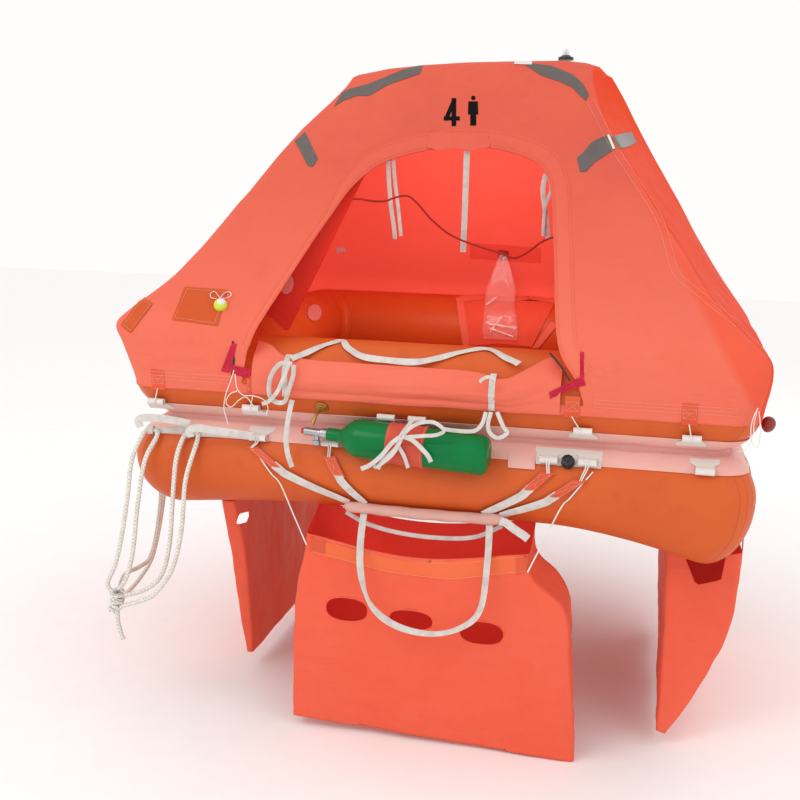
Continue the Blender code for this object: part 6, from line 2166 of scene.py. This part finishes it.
def inside_fittings():
    for name, px, py, half_width, half_height in (("disc_high", 287, 284, 6.5, 10), ("disc_low", 314, 313, 7, 8)):
        round_patch(name, px, py, half_width, half_height, disc_look, ("arch", "upper", "canopy"),
                    -0.60, 0.0030, 0.15)
    patch("inside_tab", ((337, 252), (346, 251), (345, 247), (336, 247)), white_look, ("arch", "canopy"),
          -0.45, 0.0034, cells=(6, 5))
    tapes = (
        # name, rows of a pixel and how far behind the top it hangs, width
        ("inside_tape_a", (
            (388, 160, 0.010), (389, 182, 0.014), (391, 206, 0.018), (394, 228, 0.020), (395, 239, 0.020),
        ), 0.013),
        ("inside_tape_b", ((393, 158, 0.008), (395, 180, 0.012), (398, 206, 0.018), (401, 236, 0.020)), 0.011),
        ("inside_tape_c", (
            (467, 151, 0.010), (466, 178, 0.014), (465, 206, 0.017), (464, 230, 0.020), (463, 252, 0.020),
        ), 0.018),
        ("inside_tape_d", ((546, 174, 0.010), (543, 190, 0.014), (546, 216, 0.018), (548, 240, 0.020)), 0.015),
        ("inside_tape_e", ((549, 176, 0.008), (551, 190, 0.012), (545, 208, 0.016), (543, 236, 0.018)), 0.010),
    )
    for name, route, width in tapes:
        top = near_seen(route[0][0], route[0][1] - 2, ("canopy",), None, 0.0)[0].y
        pixel_strap(name, [(px, py, top + back) for px, py, back in route], width, facing=(0.1, -1, 0.1))
    left, right = (near_seen(px, py, ("canopy",), None, 0.0)[0].y + 0.004 for px, py in ((351, 199), (562, 236)))
    path = []
    for p in pixel_route((DARK_CORD_LEFT, *DARK_CORD, DARK_CORD_RIGHT), 4):
        part = (p.x - DARK_CORD_LEFT[0]) / (DARK_CORD_RIGHT[0] - DARK_CORD_LEFT[0])
        path.append(at_y(p.x, p.y, left + (right - left) * part + 0.09 * math.sin(part * math.pi)))
    made = rod("inside_cord", path, 0.0031, red_cord_look, sides=12)
    patch("eyelet_panel", ((470, 258), (541, 263), (541, 247), (470, 242)), eyelet_panel_look, ("canopy",),
          CABIN_FROM_Y, 0.0034, cells=(20, 8))
    patch("eyelet_dark", ((498, 259), (509, 260), (509, 250), (498, 249)), flap_look, ("canopy",),
          CABIN_FROM_Y, 0.0046, cells=(8, 8))
    round_patch("eyelet", 503.5, 254.5, 3.4, 4.6, steel_look, ("canopy",), CABIN_FROM_Y, 0.0060)
    round_patch("eyelet_hole", 503.5, 254.5, 1.6, 2.4, ink_look, ("canopy",), CABIN_FROM_Y, 0.0070)
    string = pixel_line(((503, 255), (504, 259), (501, 263), (499, 268)), 5, ("canopy",), CABIN_FROM_Y,
                        lift=0.0075)
    rod("spares_string", string, 0.0012, cord_look, sides=8)
    lined_patch("pocket_cloth", ((470, 345), (498, 343), (532, 346)), ((461, 300), (500, 301), (555, 303)),
                pocket_look, CABIN, CABIN_FROM_Y, lift=0.0050, cells=(22, 12), ripple=0.004)
    lined_patch("pocket_hem", ((461, 303), (483, 301), (508, 304), (530, 301), (556, 305)),
                ((460, 298), (482, 296), (508, 299), (530, 296), (556, 300)), edge_look, CABIN, CABIN_FROM_Y,
                lift=0.0085, cells=(30, 4))
    lined_patch("pocket_side_left", ((463, 345), (470, 345)), ((456, 299), (463, 299)), edge_look,
                CABIN, CABIN_FROM_Y, lift=0.0075, cells=(4, 14))
    lined_patch("pocket_side_right", ((532, 347), (539, 347)), ((551, 322), (558, 325)), edge_look,
                CABIN, CABIN_FROM_Y, lift=0.0075, cells=(4, 10))
    for k, ((ax, ay), (bx, by), radius) in enumerate((
        ((481, 308), (496, 297), 0.0040), ((475, 322), (518, 328), 0.0030), ((478, 324), (513, 337), 0.0034),
        ((505, 273), (509, 288), 0.0016), ((490, 332), (502, 316), 0.0028),
    )):
        found = [near_seen(ax + (bx - ax) * part, ay + (by - ay) * part, ("spares",), CABIN_FROM_Y, -0.0040)
                 for part in (0, 0.33, 0.66, 1)]
        rod("spares_stick_%d" % k, [hit[0] for hit in found if hit], radius, spare_look, sides=10)


# These cloths' glows are painted light that brightens them inside the cabin.
disc_look = coated_fabric("disc_fabric", (212, 136, 128), (202, 124, 116), 0.6, 0.10)
eyelet_panel_look = coated_fabric("eyelet_fabric", (214, 72, 58), (200, 60, 48), 0.6, 0.36)
pocket_look = coated_fabric("pocket_fabric", (214, 82, 58), (204, 70, 46), 0.6, 0.20)
flap_look = coated_fabric("dark_flap", (170, 50, 40), (150, 40, 32), 0.6, 0.15)
spare_look = plain("spare_parts", (240, 214, 206), 0.25, shade=(226, 180, 170), Coat_Weight=0.6)
inside_fittings()

# Hems, patches and cords low down.

FRONT_BAG = ("ballast_pocket_front",)


def low_details():
    lined_patch("bag_hem", ((311, 553), (340, 560), (390, 573), (450, 580), (500, 575), (528, 573)),
                ((311, 534), (340, 541), (390, 554), (450, 561), (500, 556), (528, 554)), hem_look, FRONT_BAG,
                lift=0.0022, cells=(60, 6), ripple=0.0015)
    for name, corners in (("bag_corner_left", ((311, 551), (325, 554), (325, 537), (311, 534))),
                          ("bag_corner_right", ((516, 574), (528, 572), (528, 554), (516, 556)))):
        patch(name, corners, red_patch_look, FRONT_BAG, lift=0.0038, cells=(8, 8))
    lines = [pixel_line(line, 8, FRONT_BAG, lift=0.0036) for line in (
        ((314, 551), (340, 558), (390, 571), (450, 578), (500, 573), (525, 571)),
        ((314, 537), (340, 543), (390, 556), (450, 563), (500, 558), (525, 556)),
    )]
    stitches("bag_hem_stitches", lines, pitch=0.0060)
    for k, (cx, cz, half_width, half_height) in enumerate(FRONT_BAG_HOLES):
        ring = []
        for step in range(49):
            turn = math.tau * step / 48
            c, n = math.cos(turn), math.sin(turn)
            x = cx + math.copysign(abs(c) ** (2 / OVAL_POWER), c) * half_width * 1.02
            z = cz + math.copysign(abs(n) ** (2 / OVAL_POWER), n) * half_height * 1.03
            hit = SKINS["ballast_pocket_front"].ray_cast(Vector((x, BEFORE_ALL_Y, z)), Vector((0, 1, 0)))[0]
            if hit is not None:
                ring.append(hit)
        if len(ring) > 40:
            rod("bag_hole_edge_%d" % k, ring, 0.0017, bag_look, sides=8)
    loops = {
        "hem_cord_left": (
            (234, 370, -0.884), (231, 380, -0.890), (226, 394, -0.894), (224, 408, -0.895), (228, 424, -0.890),
        ),
        "hem_cord_bow": (
            (235, 374, -0.886), (237, 388, -0.892), (243, 395, -0.896), (254, 396, -0.897), (264, 400, -0.896),
            (268, 408, -0.894), (266, 415, -0.892),
        ),
        "hem_cord_loop": (
            (237, 391, -0.893), (230, 394, -0.896), (226, 402, -0.896), (231, 407, -0.895), (239, 400, -0.895),
            (246, 397, -0.896), (252, 404, -0.896), (259, 413, -0.892),
        ),
        "corner_loop_a": (
            (758, 408, -0.860), (754, 416, -0.864), (751, 428, -0.864), (752, 442, -0.860), (757, 448, -0.856),
            (760, 438, -0.856), (760, 422, -0.856), (759, 411, -0.858),
        ),
        "corner_loop_b": (
            (757, 411, -0.860), (754, 424, -0.864), (753, 436, -0.864), (746, 449, -0.860), (738, 452, -0.858),
        ),
    }
    for name, route in loops.items():
        path = smooth_route([at_y(*row) for row in route], 6)
        made = rod(name, path, 0.0013, cord_look, sides=8)
    pixel_strap("tow_web_left", (
        (190, 424, -0.868), (172, 420, -0.874), (156, 418, -0.880), (143, 418, -0.884), (138, 421, -0.884),
        (141, 427, -0.880),
    ), 0.022, facing=(0, -1, 0.05))
    pixel_strap("tow_web_right", (
        (252, 436, -0.866), (232, 433, -0.872), (212, 430, -0.878), (197, 428, -0.884), (189, 431, -0.886),
        (191, 437, -0.882),
    ), 0.022, facing=(0, -1, 0.05))
    # Painted shade: a dark patch over the right bag's open end, where its inside lies in shade.
    lined_patch("right_bag_mouth_shade", ((686, 560), (696, 585), (721, 580), (726, 556)),
                ((688, 556), (700, 560), (716, 557), (725, 553)), opening_shade_look, ("ballast_pocket_right",),
                lift=0.0018, cells=(14, 6))
    patch("band_label", ((508, 468), (535, 470), (535, 453), (508, 451)), band_look, ("lower",), lift=0.0046,
          cells=(10, 6))


# The hem cloth's glow is painted light.
hem_look = coated_fabric("hem_fabric", (230, 108, 68), (222, 96, 58), 0.55, 0.08)
# Painted shade for the inside of the right bag's open end.
opening_shade_look = coated_fabric("painted_shade_opening", (168, 26, 18), (140, 16, 12), 0.8)
low_details()

# Floor, light.

GROUND_HALF = 14
ground = bpy.data.objects.new("ground", bpy.data.meshes.new("ground"))
corners = [(x * GROUND_HALF, y * GROUND_HALF, FLOOR_Z) for x, y in ((-1, -1), (1, -1), (1, 1), (-1, 1))]
ground.data.from_pydata(corners, [], [(0, 1, 2, 3)])
bpy.context.scene.collection.objects.link(ground)
ground.data.materials.append(plain("ground_paint", (250, 250, 250), 0.9, shade=(247, 247, 247), grain=3.0,
                                   height=0.0, Specular_IOR_Level=0.1))

world = bpy.data.worlds.new("studio")
bpy.context.scene.world = world
world.use_nodes = True
world.node_tree.nodes["Background"].inputs["Color"].default_value = (1.0, 0.99, 0.98, 1.0)
world.node_tree.nodes["Background"].inputs["Strength"].default_value = 1.0
bpy.context.scene.view_settings.view_transform = "Standard"

LIGHTS = (
    # name, place, aims at, size, watts
    ("key", (-2.6, -4.2, 3.6), (0.0, -0.4, 0.3), 2.6, 60),
    ("fill", (3.6, -3.4, 2.0), (0.1, -0.3, 0.2), 2.6, 14),
    ("rim", (2.5, 3.6, 3.4), (0.0, 0.0, 0.5), 2.4, 24),
    ("inside", (-0.05, -0.22, 0.56), (-0.02, 0.64, 0.22), 0.4, 4),
)
for name, place, target, size, watts in LIGHTS:
    lamp = bpy.data.lights.new(name, "AREA")
    lamp.energy = watts
    lamp.size = size
    made = bpy.data.objects.new(name, lamp)
    made.location = place
    made.visible_camera = False
    made.rotation_euler = (Vector(target) - Vector(place)).to_track_quat("-Z", "Y").to_euler()
    bpy.context.scene.collection.objects.link(made)
